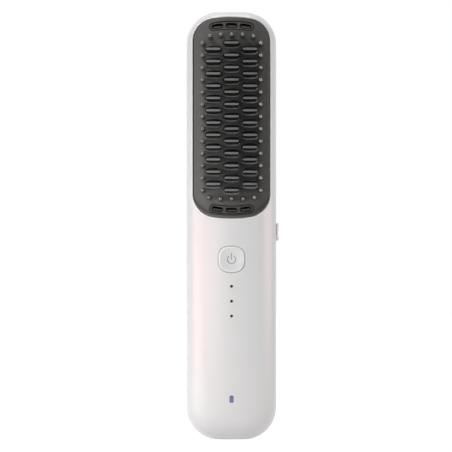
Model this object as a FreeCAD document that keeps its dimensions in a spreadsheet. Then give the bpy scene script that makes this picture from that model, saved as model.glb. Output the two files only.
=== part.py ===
import FreeCAD, Part
import math
import os
import re
import Sketcher

# A cordless hair straightening brush, standing on its flat end.
# X runs across the brush, Z along it with the comb head on top, and the
# front, where the teeth are, faces minus Y. Lengths are millimetres.
# "Level" below is the distance towards the front from the middle plane.

SIZES = {
    # housing
    "body_length": 200.0,
    "body_width": 42.0,
    "body_depth": 36.0,
    "end_radius": 15.0,
    "edge_radius": 11.5,
    "crown_radius": 60.0,
    "wall": 2.0,
    "parting_back": 2.0,
    "lip_height": 1.6,
    "lip_width": 0.9,
    "lip_clearance": 0.1,
    "seam_width": 0.3,
    "seam_depth": 0.35,
    "trim_margin": 10.0,
    # comb head
    "head_width": 35.3,
    "head_height": 92.75,
    "head_top_margin": 3.75,
    "head_top_corner": 10.0,
    "head_bottom_corner": 10.9,
    "head_end_radius": 58.0,
    "head_gap": 0.2,
    "head_lip": 1.0,
    "head_lip_flare": 0.4,
    "head_lip_sink": 0.35,
    "bed_depth": 3.0,
    "bed_bow": 80.0,
    "frame_thickness": 5.0,
    "frame_edge": 0.8,
    "collar_wall": 1.6,
    "ledge_width": 1.4,
    "ledge_thickness": 1.5,
    "rim_edge": 0.35,
    # heated fins
    "fin_rows": 13,
    "fin_pitch": 5.62,
    "fin_column_pitch": 8.4,
    "fin_length": 7.5,
    "fin_thickness": 3.7,
    "fin_end": 1.7,
    "fin_waist_length": 7.1,
    "fin_waist_thickness": 2.75,
    "fin_waist_end": 1.25,
    "fin_waist_height": 0.42,
    "fin_shoulder_length": 7.0,
    "fin_shoulder_thickness": 1.7,
    "fin_shoulder_end": 0.77,
    "fin_tip_length": 6.6,
    "fin_tip_thickness": 1.0,
    "fin_tip_end": 0.45,
    "fin_height": 6.4,
    "fin_tip_bevel": 0.55,
    "fin_window_gap": 0.28,
    "fin_raise": 0.1,
    # guard pins
    "pin_column": 13.3,
    "pin_root": 2.2,
    "pin_tip": 1.7,
    "pin_height": 6.9,
    "pin_socket": 1.6,
    "pin_clearance": 0.05,
    "pin_round": 0.75,
    "end_pin_pitch": 4.95,
    "end_pin_low_pitch": 5.2,
    "end_pin_inset": 8.8,
    "end_pin_low_inset": 8.8,
    "end_pin_drop": 0.6,
    # vents
    "vent_length": 20.8,
    "vent_height": 4.1,
    "vent_curve": 48.0,
    "vent_top_inset": 3.6,
    "vent_low_inset": 3.7,
    "vent_seat": 2.2,
    "vent_ledge": 0.8,
    "vent_gap": 0.28,
    "grille_thickness": 1.9,
    "grille_edge": 0.25,
    "slot_length": 5.7,
    "slot_height": 2.2,
    "slot_pitch": 6.55,
    "slot_depth": 1.5,
    "louver_length": 4.1,
    "louver_height": 0.7,
    "louver_drop": 0.25,
    "louver_sink": 1.0,
    # heating unit
    "plate_width": 28.6,
    "plate_height": 76.0,
    "plate_corner": 4.0,
    "plate_thickness": 2.0,
    "heater_width": 7.0,
    "heater_height": 50.0,
    "heater_thickness": 1.2,
    "heater_spacing": 9.4,
    "mica_width": 18.0,
    "mica_height": 54.0,
    "mica_thickness": 0.4,
    "clamp_width": 22.0,
    "clamp_height": 66.0,
    "clamp_thickness": 0.8,
    "clamp_corner": 2.5,
    "clamp_post": 4.4,
    "clamp_screw_x": 8.0,
    "clamp_screw_z": 30.2,
    "plate_screw_x": 8.4,
    "plate_screw_z": 36.0,
    "thermistor_width": 1.6,
    "thermistor_height": 4.0,
    "fuse_diameter": 4.0,
    "fuse_length": 11.0,
    "lead_diameter": 1.0,
    "lead_column": 3.5,
    # ion unit
    "ion_width": 18.0,
    "ion_height": 32.0,
    "ion_thickness": 11.0,
    "ion_raise": 6.2,
    "ion_back": 10.0,
    "ion_pad_width": 14.0,
    "ion_pad_height": 4.0,
    "ion_pad_spacing": 22.0,
    "emitter_width": 6.0,
    "emitter_height": 3.2,
    "emitter_thickness": 2.5,
    "needle_diameter": 0.7,
    "needle_length": 1.6,
    # small screws
    "screw_shank": 1.9,
    "screw_head": 3.8,
    "screw_head_height": 1.3,
    "screw_clearance": 0.1,
    "screw_bite": 1.8,
    "head_screw_x": 12.0,
    "head_screw_low": 5.4,
    "head_screw_top": 4.8,
    "head_screw_tab": 5.0,
    # power button
    "button_drop": 19.0,
    "button_size": 12.0,
    "button_corner": 4.75,
    "button_gap": 0.17,
    "hole_edge": 0.25,
    "button_proud": 0.25,
    "button_edge": 0.7,
    "button_dish": 0.35,
    "button_dish_radius": 40.0,
    "button_flange": 1.05,
    "button_flange_thickness": 0.8,
    "button_flange_drop": 0.75,
    "button_stem": 4.0,
    "button_travel": 0.5,
    "tact_size": 6.0,
    "tact_height": 3.5,
    "plunger_diameter": 3.4,
    "plunger_rise": 0.8,
    "plunger_depth": 1.0,
    "tact_clearance": 0.1,
    # side switch
    "knob_drop": 6.4,
    "knob_length": 8.3,
    "knob_width": 4.0,
    "knob_corner": 1.8,
    "knob_rise": 1.05,
    "knob_edge": 0.12,
    "knob_gap": 0.12,
    "knob_round": 0.85,
    "knob_groove": 0.5,
    "knob_groove_depth": 0.25,
    "knob_groove_pitch": 1.3,
    "knob_stem_length": 3.0,
    "knob_stem_width": 2.8,
    "knob_stem_gap": 0.4,
    "knob_slot_gap": 0.15,
    "knob_travel": 2.5,
    "knob_lug_width": 4.6,
    "knob_lug_thickness": 0.7,
    "knob_lug_gap": 0.2,
    "switch_length": 8.6,
    "switch_width": 4.4,
    "switch_height": 3.4,
    "switch_slot_depth": 2.0,
    "lever_size": 1.6,
    "lever_fit": 0.1,
    "lever_reach": 2.6,
    # lights
    "light_drop": 12.4,
    "light_pitch": 6.84,
    "light_diameter": 1.3,
    "light_gap": 0.05,
    "light_sink": 0.05,
    "pipe_width": 4.4,
    "pipe_thickness": 1.1,
    "pipe_margin": 3.0,
    "pipe_seat": 0.12,
    "lens_centre": 20.25,
    "lens_width": 1.8,
    "lens_height": 3.35,
    "lens_corner": 0.85,
    "lens_foot": 0.3,
    "lens_rim": 1.2,
    "led_size": 1.6,
    "led_height": 0.8,
    # boards
    "board_front": 8.4,
    "board_thickness": 1.6,
    "board_width": 30.0,
    "board_bottom": 10.0,
    "board_head_gap": 2.7,
    "board_corner": 3.0,
    "chip_size": 7.0,
    "chip_height": 1.0,
    "chip_centre": 46.0,
    "coil_diameter": 7.0,
    "coil_height": 3.5,
    "coil_centre": 33.0,
    # charging socket
    "socket_level": 2.6,
    "socket_width": 8.94,
    "socket_height": 3.26,
    "socket_depth": 7.3,
    "socket_wall": 0.3,
    "socket_sink": 0.7,
    "socket_gap": 0.18,
    "tongue_width": 6.7,
    "tongue_height": 0.7,
    "tongue_length": 5.2,
    "usb_board_width": 14.0,
    "usb_board_bottom": 2.9,
    "usb_board_height": 9.0,
    "usb_board_thickness": 1.0,
    "usb_screw_x": 5.6,
    "usb_screw_z": 9.6,
    "ribbon_width": 5.0,
    "ribbon_thickness": 0.6,
    "ribbon_height": 10.6,
    # battery and its carrier
    "cell_diameter": 21.2,
    "cell_length": 70.0,
    "cell_back": 4.6,
    "cell_bottom": 15.3,
    "cell_nub": 8.0,
    "cell_nub_rise": 0.8,
    "cell_clearance": 0.3,
    "cell_rib_clearance": 0.1,
    "tab_width": 6.0,
    "tab_thickness": 0.3,
    "tab_reach": 8.0,
    "rail_width": 5.5,
    "rail_back": 3.0,
    "end_wall": 2.7,
    "rail_above": 3.0,
    "tail_width": 18.0,
    "tail_bottom": 4.0,
    "chassis_screw_low": 27.0,
    "chassis_screw_high": 77.0,
    "chassis_seat": 0.5,
    "boss_diameter": 5.4,
    "rib_thickness": 1.8,
    "rib_width": 24.0,
    "rib_front": 9.0,
    "rib_low": 31.0,
    "rib_spacing": 19.5,
    "board_screw_low": 17.5,
    "board_screw_high": 84.5,
}

doc = FreeCAD.newDocument("StraighteningBrush")
sheet = doc.addObject("Spreadsheet::Sheet", "Sizes")
for row, (alias, amount) in enumerate(SIZES.items(), start=1):
    sheet.set("A" + str(row), alias)
    sheet.set("B" + str(row), str(amount))
    sheet.setAlias("B" + str(row), alias)
doc.recompute()

WORD = re.compile(r"[A-Za-z_][A-Za-z_0-9]*")


def link(text):
    """Return an expression whose size names point into the sheet."""
    def swap(match):
        name = match.group(0)
        return "Sizes." + name if name in SIZES else name
    return WORD.sub(swap, str(text))


def value(text):
    """Return the number that an expression of size names gives now."""
    found = sheet.evalExpression(link(text))
    return float(getattr(found, "Value", found))


def bind(item, prop, text):
    """Drive one property of a document object from the sheet."""
    item.setExpression(prop, link(text))


def minus(text):
    """Return the expression's negative."""
    return "-(" + text + ")"


# Levels, measured to the front, that several pieces share.
FRONT = "body_depth / 2"
INNER_FRONT = "body_depth / 2 - wall"
BED = "body_depth / 2 - bed_depth"
FRAME_BACK = "body_depth / 2 - bed_depth - frame_thickness"
LEDGE_BACK = FRAME_BACK + " - ledge_thickness"
PLATE_BACK = FRAME_BACK + " - plate_thickness"
HEATER_BACK = PLATE_BACK + " - heater_thickness"
MICA_BACK = HEATER_BACK + " - mica_thickness"
CLAMP_BACK = MICA_BACK + " - clamp_thickness"
BOARD_BACK = "board_front - board_thickness"
HEAD_TOP = "body_length - head_top_margin"
HEAD_BOTTOM = HEAD_TOP + " - head_height"
FIN_CENTRE = HEAD_BOTTOM + " + head_height / 2 + fin_raise"
FIN_LOW = FIN_CENTRE + " - fin_pitch * (fin_rows - 1) / 2"
VENT_TOP = HEAD_TOP + " - vent_top_inset"
VENT_LOW = HEAD_BOTTOM + " + vent_low_inset"
GRILLE_BACK = BED + " - vent_seat"
ION_CENTRE = FIN_CENTRE + " + ion_raise"
BUTTON = HEAD_BOTTOM + " - button_drop"
KNOB = HEAD_BOTTOM + " - knob_drop"
BOARD_TOP = HEAD_BOTTOM + " - board_head_gap"
BUTTON_FLANGE_FRONT = INNER_FRONT + " - button_flange_drop"
BUTTON_FLANGE_BACK = BUTTON_FLANGE_FRONT + " - button_flange_thickness"
PLUNGER_TOP = "board_front + tact_height + plunger_rise"
SWITCH_LEVEL = BOARD_BACK + " - switch_height / 2"
SIDE = "body_width / 2"
INNER_SIDE = "body_width / 2 - wall"
SWITCH_FACE = "board_width / 2 + lever_fit"
LIGHT_FIRST = BUTTON + " - light_drop"
LIGHT_LAST = LIGHT_FIRST + " - light_pitch * 2"
RAIL_INSIDE = "cell_diameter / 2 + cell_clearance"
RAIL_MIDDLE = RAIL_INSIDE + " + rail_width / 2"
END_LOW = "cell_bottom - tab_thickness"
END_HIGH = "cell_bottom + cell_length + tab_thickness * 2"
USB_BOARD_FRONT = "socket_level - socket_height / 2"
USB_BOARD_BACK = USB_BOARD_FRONT + " - usb_board_thickness"


def plane_of(body, role):
    """Return one of the body's own origin planes or axes."""
    for feature in body.Origin.OriginFeatures:
        if feature.Role == role:
            return feature
    raise ValueError(role)


def new_body(label):
    """Start a sub-part body."""
    body = doc.addObject("PartDesign::Body", label)
    body.Label = label
    return body


def new_sketch(body, role="XZ_Plane", shift=("0", "0", "0"), turned=False):
    """Start a sketch on an origin plane, moved in its own plane and along its normal."""
    sketch = body.newObject("Sketcher::SketchObject", body.Label + "_sketch")
    sketch.AttachmentSupport = [(plane_of(body, role), "")]
    sketch.MapMode = "FlatFace"
    if turned:
        half_turn = FreeCAD.Rotation(FreeCAD.Vector(0, 0, 1), 180)
        sketch.AttachmentOffset = FreeCAD.Placement(FreeCAD.Vector(0, 0, 0), half_turn)
    for axis, text in zip("xyz", shift):
        bind(sketch, "AttachmentOffset.Base." + axis, text)
    return sketch


def driven(sketch, kind, *rest):
    """Add a dimension whose last argument is an expression."""
    refs, text = rest[:-1], rest[-1]
    index = sketch.addConstraint(Sketcher.Constraint(kind, *refs, value(text)))
    name = "size_" + str(index)
    sketch.renameConstraint(index, name)
    bind(sketch, "Constraints." + name, text)


def fixed(sketch, kind, *refs):
    """Add a constraint without a size."""
    sketch.addConstraint(Sketcher.Constraint(kind, *refs))


def segment(sketch, start, end):
    """Add a straight line between two points of the sketch plane."""
    line = Part.LineSegment(FreeCAD.Vector(start[0], start[1], 0), FreeCAD.Vector(end[0], end[1], 0))
    return sketch.addGeometry(line, False)


def arc(sketch, centre, radius, begin, finish):
    """Add an arc, angles in degrees, counter-clockwise."""
    circle = Part.Circle(FreeCAD.Vector(centre[0], centre[1], 0), FreeCAD.Vector(0, 0, 1), radius)
    bow = Part.ArcOfCircle(circle, math.radians(begin), math.radians(finish))
    return sketch.addGeometry(bow, False)


def rounded_rectangle(sketch, width, height, corner, foot=None):
    """Draw a rectangle with round corners about the sketch's origin; its lower corners can be tighter."""
    foot = foot or corner
    half_w = value(width) / 2
    half_h = value(height) / 2
    rad = value(corner)
    low_rad = value(foot)
    low = segment(sketch, (low_rad - half_w, -half_h), (half_w - low_rad, -half_h))
    arc_a = arc(sketch, (half_w - low_rad, low_rad - half_h), low_rad, 270, 360)
    right = segment(sketch, (half_w, low_rad - half_h), (half_w, half_h - rad))
    arc_b = arc(sketch, (half_w - rad, half_h - rad), rad, 0, 90)
    high = segment(sketch, (half_w - rad, half_h), (rad - half_w, half_h))
    arc_c = arc(sketch, (rad - half_w, half_h - rad), rad, 90, 180)
    left = segment(sketch, (-half_w, half_h - rad), (-half_w, low_rad - half_h))
    arc_d = arc(sketch, (low_rad - half_w, low_rad - half_h), low_rad, 180, 270)
    ring = [low, arc_a, right, arc_b, high, arc_c, left, arc_d]
    for here, after in zip(ring, ring[1:] + ring[:1]):
        fixed(sketch, "Tangent", here, 2, after, 1)
    fixed(sketch, "Horizontal", high)
    for line in (left, right):
        fixed(sketch, "Vertical", line)
    fixed(sketch, "Symmetric", low, 1, low, 2, -2)
    fixed(sketch, "Equal", arc_a, arc_d)
    fixed(sketch, "Equal", arc_b, arc_c)
    driven(sketch, "Radius", arc_a, foot)
    driven(sketch, "Radius", arc_b, corner)
    driven(sketch, "DistanceX", left, 1, right, 1, width)
    driven(sketch, "DistanceY", low, 1, high, 1, height)
    driven(sketch, "DistanceY", -1, 1, high, 1, "(" + height + ") / 2")


def rectangle(sketch, width, height):
    """Draw a plain rectangle about the sketch's origin."""
    half_w = value(width) / 2
    half_h = value(height) / 2
    spots = [(-half_w, -half_h), (half_w, -half_h), (half_w, half_h), (-half_w, half_h)]
    ring = [segment(sketch, a, b) for a, b in zip(spots, spots[1:] + spots[:1])]
    for here, after in zip(ring, ring[1:] + ring[:1]):
        fixed(sketch, "Coincident", here, 2, after, 1)
    fixed(sketch, "Horizontal", ring[0])
    fixed(sketch, "Horizontal", ring[2])
    fixed(sketch, "Vertical", ring[1])
    fixed(sketch, "Vertical", ring[3])
    driven(sketch, "DistanceX", ring[0], 1, ring[0], 2, width)
    driven(sketch, "DistanceY", ring[1], 1, ring[1], 2, height)
    fixed(sketch, "Symmetric", ring[0], 1, ring[1], 2, -1, 1)


def stadium(sketch, length, thickness):
    """Draw a slot shape with round ends, lying along the sketch's X."""
    rad = value(thickness) / 2
    reach = value(length) / 2 - rad
    low = segment(sketch, (-reach, -rad), (reach, -rad))
    right = arc(sketch, (reach, 0), rad, -90, 90)
    high = segment(sketch, (reach, rad), (-reach, rad))
    left = arc(sketch, (-reach, 0), rad, 90, 270)
    ring = [low, right, high, left]
    for here, after in zip(ring, ring[1:] + ring[:1]):
        fixed(sketch, "Tangent", here, 2, after, 1)
    fixed(sketch, "Horizontal", low)
    fixed(sketch, "Equal", left, right)
    driven(sketch, "Radius", right, "(" + thickness + ") / 2")
    driven(sketch, "DistanceX", left, 3, right, 3, "(" + length + ") - (" + thickness + ")")
    fixed(sketch, "Symmetric", left, 3, right, 3, -1, 1)


def oval(sketch, length, thickness, end):
    """Draw an oval of two wide arcs and two end arcs, lying along the sketch's X."""
    reach = value(length) / 2 - value(end)
    rise = value(thickness) / 2
    rad = value(end)
    half = "((" + length + ") / 2 - (" + end + "))"
    spare = "((" + thickness + ") - 2 * (" + end + "))"
    wide = "(" + half + "^2 + (" + thickness + ")^2 / 4 - (" + end + ")^2) / " + spare
    sweep = value(wide)
    lean = math.degrees(math.atan2(sweep - rise, reach))
    low = arc(sketch, (0, sweep - rise), sweep, 180 + lean, 360 - lean)
    right = arc(sketch, (reach, 0), rad, -lean, lean)
    high = arc(sketch, (0, rise - sweep), sweep, lean, 180 - lean)
    left = arc(sketch, (-reach, 0), rad, 180 - lean, 180 + lean)
    ring = [low, right, high, left]
    for here, after in zip(ring, ring[1:] + ring[:1]):
        fixed(sketch, "Tangent", here, 2, after, 1)
    fixed(sketch, "Equal", left, right)
    fixed(sketch, "Equal", low, high)
    fixed(sketch, "PointOnObject", right, 3, -1)
    fixed(sketch, "Symmetric", left, 3, right, 3, -1, 1)
    driven(sketch, "Radius", right, end)
    driven(sketch, "Radius", high, wide)
    driven(sketch, "DistanceX", left, 3, right, 3, "2 * " + half)


def disc(sketch, diameter):
    """Draw a circle about the sketch's origin."""
    circle = Part.Circle(FreeCAD.Vector(0, 0, 0), FreeCAD.Vector(0, 0, 1), value(diameter) / 2)
    index = sketch.addGeometry(circle, False)
    fixed(sketch, "Coincident", index, 3, -1, 1)
    driven(sketch, "Diameter", index, diameter)


def bent_slot(sketch, curve, near, far, height):
    """Draw a slot bent round the sketch's origin, between two X places of its end caps."""
    radius = value(curve)
    rad = value(height) / 2
    spots = []
    for text in (far, near):
        across = value(text)
        spots.append((across, math.sqrt(radius * radius - across * across)))
    angles = [math.degrees(math.atan2(up, across)) for across, up in spots]
    outer = arc(sketch, (0, 0), radius + rad, angles[0], angles[1])
    cap_far = arc(sketch, spots[1], rad, angles[1], angles[1] + 180)
    inner = arc(sketch, (0, 0), radius - rad, angles[0], angles[1])
    cap_near = arc(sketch, spots[0], rad, angles[0] - 180, angles[0])
    fixed(sketch, "Coincident", outer, 3, -1, 1)
    fixed(sketch, "Coincident", inner, 3, -1, 1)
    fixed(sketch, "Tangent", outer, 2, cap_far, 1)
    fixed(sketch, "Tangent", cap_far, 2, inner, 2)
    fixed(sketch, "Tangent", inner, 1, cap_near, 1)
    fixed(sketch, "Tangent", cap_near, 2, outer, 1)
    driven(sketch, "Radius", outer, "(" + curve + ") + (" + height + ") / 2")
    driven(sketch, "Radius", inner, "(" + curve + ") - (" + height + ") / 2")
    driven(sketch, "DistanceX", -1, 1, cap_near, 3, far)
    driven(sketch, "DistanceX", -1, 1, cap_far, 3, near)


def head_outline(sketch, grow):
    """Draw the comb head's rounded outline, grown evenly by an amount."""
    half_w = value("head_width / 2 + " + grow)
    low_r = value("head_bottom_corner + " + grow)
    top_r = value("head_top_corner + " + grow)
    end_r = value("head_end_radius + " + grow)
    low_z = value(HEAD_BOTTOM + " - (" + grow + ")") + end_r
    top_z = value(HEAD_TOP + " + " + grow) - end_r
    spots = {}
    for name, rad, centre, sign in (("low", low_r, low_z, -1), ("top", top_r, top_z, 1)):
        across = half_w - rad
        along = centre + sign * math.sqrt((end_r - rad) ** 2 - across ** 2)
        lean = math.degrees(math.atan2(along - centre, across))
        spots[name] = (across, along, lean)
    ax, az, alean = spots["low"]
    bx, bz, blean = spots["top"]
    low = arc(sketch, (0, low_z), end_r, -180 - alean, alean)
    low_right = arc(sketch, (ax, az), low_r, alean, 0)
    right = segment(sketch, (half_w, az), (half_w, bz))
    top_right = arc(sketch, (bx, bz), top_r, 0, blean)
    top = arc(sketch, (0, top_z), end_r, blean, 180 - blean)
    top_left = arc(sketch, (-bx, bz), top_r, 180 - blean, 180)
    left = segment(sketch, (-half_w, bz), (-half_w, az))
    low_left = arc(sketch, (-ax, az), low_r, 180, 180 - alean)
    ring = [low, low_right, right, top_right, top, top_left, left, low_left]
    for here, after in zip(ring, ring[1:] + ring[:1]):
        fixed(sketch, "Tangent", here, 2, after, 1)
    fixed(sketch, "Vertical", right)
    fixed(sketch, "Vertical", left)
    fixed(sketch, "Equal", low_right, low_left)
    fixed(sketch, "Equal", top_right, top_left)
    driven(sketch, "Radius", low_right, "head_bottom_corner + " + grow)
    driven(sketch, "Radius", top_right, "head_top_corner + " + grow)
    driven(sketch, "Radius", low, "head_end_radius + " + grow)
    driven(sketch, "Radius", top, "head_end_radius + " + grow)
    fixed(sketch, "PointOnObject", low, 3, -2)
    fixed(sketch, "PointOnObject", top, 3, -2)
    driven(sketch, "DistanceX", -1, 1, right, 1, "head_width / 2 + " + grow)
    driven(sketch, "DistanceX", left, 1, right, 1, "head_width + 2 * (" + grow + ")")
    driven(sketch, "DistanceY", -1, 1, low, 3, HEAD_BOTTOM + " + head_end_radius")
    driven(sketch, "DistanceY", -1, 1, top, 3, HEAD_TOP + " - head_end_radius")


def outline_points(sketch, points):
    """Draw a closed outline through points given as pairs of expressions."""
    spots = [(value(x), value(y)) for x, y in points]
    ring = [segment(sketch, a, b) for a, b in zip(spots, spots[1:] + spots[:1])]
    for here, after in zip(ring, ring[1:] + ring[:1]):
        fixed(sketch, "Coincident", here, 2, after, 1)
    for line, (x, y) in zip(ring, points):
        if x == "0":
            fixed(sketch, "PointOnObject", line, 1, -2)
        else:
            driven(sketch, "DistanceX", -1, 1, line, 1, x)
        driven(sketch, "DistanceY", -1, 1, line, 1, y)


def pad(body, sketch, length):
    """Raise a sketch along its normal."""
    feature = body.newObject("PartDesign::Pad", body.Label + "_pad")
    feature.Profile = sketch
    bind(feature, "Length", length)
    doc.recompute()
    return feature


def pocket(body, sketch, depth):
    """Cut a sketch into the body, against the sketch's normal."""
    feature = body.newObject("PartDesign::Pocket", body.Label + "_pocket")
    feature.Profile = sketch
    bind(feature, "Length", depth)
    doc.recompute()
    return feature


def revolve(body, sketch):
    """Turn a sketch once about its own vertical axis."""
    feature = body.newObject("PartDesign::Revolution", body.Label + "_turn")
    feature.Profile = sketch
    feature.ReferenceAxis = (sketch, ["V_Axis"])
    feature.Angle = 360
    doc.recompute()
    return feature


def edges_of(shape, test):
    """Return the names of the edges that pass a test."""
    return ["Edge" + str(number) for number, edge in enumerate(shape.Edges, start=1) if test(edge)]


def at_level(level):
    """Return a test for edges that lie at one level towards the front."""
    place = value(level)
    def test(edge):
        box = edge.BoundBox
        near = abs(-box.YMin - place) < 1e-4
        return near and abs(-box.YMax - place) < 1e-4
    return test


def soften(body, base, radius, test):
    """Round the edges of the body's last feature that pass a test."""
    feature = body.newObject("PartDesign::Fillet", body.Label + "_round")
    feature.Base = (base, edges_of(base.Shape, test))
    bind(feature, "Radius", radius)
    doc.recompute()
    return feature


def crown_edges(shape, radius):
    """Return a test for the edges round a crowned face."""
    size = value(radius)
    faces = [face for face in shape.Faces
             if isinstance(face.Surface, Part.Cylinder) and abs(face.Surface.Radius - size) < 1e-6]
    marks = {edge.hashCode() for face in faces for edge in face.Edges}
    return lambda edge: edge.hashCode() in marks


def crown_cut(body, top, bow):
    """Cut the body's front to a crown that falls to both sides from a top level."""
    sketch = new_sketch(body, "XY_Plane", ("0", "0", "body_length + trim_margin"))
    width = "head_width / 2 + trim_margin"
    ahead = FRONT + " + trim_margin"
    radius = value(bow)
    reach = value(width)
    rise = radius - value(top)
    lean = math.degrees(math.acos(reach / radius))
    end_y = rise - radius * math.sin(math.radians(lean))
    far = -value(ahead)
    crown = arc(sketch, (0, rise), radius, 180 + lean, 360 - lean)
    right = segment(sketch, (reach, end_y), (reach, far))
    front = segment(sketch, (reach, far), (-reach, far))
    left = segment(sketch, (-reach, far), (-reach, end_y))
    ring = [(crown, 2, right), (right, 2, front), (front, 2, left), (left, 2, crown)]
    for here, end, after in ring:
        fixed(sketch, "Coincident", here, end, after, 1)
    fixed(sketch, "Vertical", right)
    fixed(sketch, "Vertical", left)
    fixed(sketch, "Horizontal", front)
    fixed(sketch, "PointOnObject", crown, 3, -2)
    driven(sketch, "Radius", crown, bow)
    driven(sketch, "DistanceY", -1, 1, crown, 3, "(" + bow + ") - (" + top + ")")
    driven(sketch, "DistanceX", -1, 1, right, 1, width)
    driven(sketch, "DistanceX", left, 1, right, 1, "2 * (" + width + ")")
    driven(sketch, "DistanceY", front, 1, -1, 1, ahead)
    return pocket(body, sketch, "body_length + 2 * trim_margin")


def fall(across):
    """Return how far the crowned bed falls away at a place across the brush."""
    return "(bed_bow - sqrt(bed_bow^2 - (" + across + ")^2))"


def row_of(body, originals, length, count, mirrored=False):
    """Repeat features along Z and, if asked, mirror the row across the brush."""
    repeat = doc.addObject("PartDesign::LinearPattern", body.Label + "_row")
    repeat.Direction = (plane_of(body, "Z_Axis"), [""])
    bind(repeat, "Length", length)
    bind(repeat, "Occurrences", count)
    steps = [repeat]
    if mirrored:
        flip = doc.addObject("PartDesign::Mirrored", body.Label + "_flip")
        flip.MirrorPlane = (plane_of(body, "YZ_Plane"), [""])
        steps.append(flip)
    feature = body.newObject("PartDesign::MultiTransform", body.Label + "_rows")
    feature.Originals = originals
    feature.Transformations = steps
    body.Tip = feature
    doc.recompute()
    return feature


def mirror_of(body, originals):
    """Mirror features across the brush."""
    feature = body.newObject("PartDesign::Mirrored", body.Label + "_mirror")
    feature.Originals = originals
    feature.MirrorPlane = (plane_of(body, "YZ_Plane"), [""])
    body.Tip = feature
    doc.recompute()
    return feature


def box(label, middle, low, back, width, height, depth):
    """Make a box from its middle across, its bottom and its back level."""
    item = doc.addObject("Part::Box", label)
    item.Label = label
    bind(item, "Length", width)
    bind(item, "Width", depth)
    bind(item, "Height", height)
    bind(item, "Placement.Base.x", "(" + middle + ") - (" + width + ") / 2")
    bind(item, "Placement.Base.y", "-(" + back + ") - (" + depth + ")")
    bind(item, "Placement.Base.z", low)
    return item


def post(label, across, along, back, diameter, depth):
    """Make a round post that stands towards the front from its back level."""
    item = doc.addObject("Part::Cylinder", label)
    item.Label = label
    item.Placement = FreeCAD.Placement(FreeCAD.Vector(0, 0, 0), FreeCAD.Rotation(FreeCAD.Vector(1, 0, 0), 90))
    bind(item, "Radius", "(" + diameter + ") / 2")
    bind(item, "Height", depth)
    bind(item, "Placement.Base.x", across)
    bind(item, "Placement.Base.y", minus(back))
    bind(item, "Placement.Base.z", along)
    return item


def pillar(label, across, back, low, diameter, height):
    """Make a round bar that stands along Z."""
    item = doc.addObject("Part::Cylinder", label)
    item.Label = label
    bind(item, "Radius", "(" + diameter + ") / 2")
    bind(item, "Height", height)
    bind(item, "Placement.Base.x", across)
    bind(item, "Placement.Base.y", minus(back))
    bind(item, "Placement.Base.z", low)
    return item


def fuse(label, items):
    """Join several objects into one."""
    item = doc.addObject("Part::MultiFuse", label)
    item.Label = label
    item.Shapes = items
    item.Refine = True
    return item


def overlap(label, items):
    """Keep what several objects share."""
    item = doc.addObject("Part::MultiCommon", label)
    item.Label = label
    item.Shapes = items
    return item


def cut(label, base, tools):
    """Take tools away from a base object."""
    tool = tools[0] if len(tools) == 1 else fuse(label + "_tools", tools)
    item = doc.addObject("Part::Cut", label)
    item.Label = label
    item.Base = base
    item.Tool = tool
    return item


def group(label, items):
    """Hold several separate solids as one sub-part."""
    item = doc.addObject("Part::Compound", label)
    item.Label = label
    item.Links = items
    return item


def prism(label, draw, role, shift, length):
    """Pad one drawn outline into a helper body."""
    body = new_body(label)
    sketch = new_sketch(body, role, shift)
    draw(sketch)
    pad(body, sketch, length)
    return body


nodes = []


def keep(item):
    """Mark an object as a finished sub-part."""
    nodes.append(item)
    return item


def housing_form(label, inset):
    """Build the brush's full rounded form, drawn in by an inset."""
    body = new_body(label)
    bow = new_sketch(body, "XY_Plane", ("0", "0", inset))
    crown = "crown_radius - " + inset
    half_depth = "body_depth / 2 - " + inset
    half_width = "body_width / 2 + trim_margin"
    radius = value(crown)
    reach = value(half_width)
    rise = value(crown + " - (" + half_depth + ")")
    lean = math.degrees(math.acos(reach / radius))
    end_y = rise - radius * math.sin(math.radians(lean))
    front = arc(bow, (0, rise), radius, 180 + lean, 360 - lean)
    right = segment(bow, (reach, end_y), (reach, -end_y))
    rear = arc(bow, (0, -rise), radius, lean, 180 - lean)
    left = segment(bow, (-reach, -end_y), (-reach, end_y))
    ring = [front, right, rear, left]
    for here, after in zip(ring, ring[1:] + ring[:1]):
        fixed(bow, "Coincident", here, 2, after, 1)
    fixed(bow, "Vertical", right)
    fixed(bow, "Vertical", left)
    fixed(bow, "PointOnObject", front, 3, -2)
    fixed(bow, "Symmetric", front, 3, rear, 3, -1, 1)
    fixed(bow, "Equal", front, rear)
    driven(bow, "Radius", front, crown)
    driven(bow, "DistanceY", -1, 1, front, 3, crown + " - (" + half_depth + ")")
    driven(bow, "DistanceX", -1, 1, right, 1, half_width)
    driven(bow, "DistanceX", left, 1, right, 1, "2 * (" + half_width + ")")
    pad(body, bow, "body_length - 2 * (" + inset + ")")
    trim = new_sketch(body, "XZ_Plane", ("0", "body_length / 2", FRONT + " + trim_margin"))
    rectangle(trim, "body_width + 4 * trim_margin", "body_length + 4 * trim_margin")
    width = "body_width - 2 * (" + inset + ")"
    height = "body_length - 2 * (" + inset + ")"
    rounded_rectangle(trim, width, height, "end_radius - " + inset)
    sides = pocket(body, trim, "body_depth + 2 * trim_margin")
    soften(body, sides, "edge_radius - " + inset, crown_edges(sides.Shape, crown))
    return body


def screws(label, spots, seat, length):
    """Group identical screws: heads behind a seat level, shanks to the front."""
    made = []
    for number, (across, along) in enumerate(spots):
        name = label + "_" + str(number)
        head_back = "(" + seat + ") - screw_head_height"
        head = post(name + "_head", across, along, head_back, "screw_head", "screw_head_height")
        shank = post(name + "_shank", across, along, seat, "screw_shank", length)
        made.append(fuse(name, [head, shank]))
    return keep(group(label, made))


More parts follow.
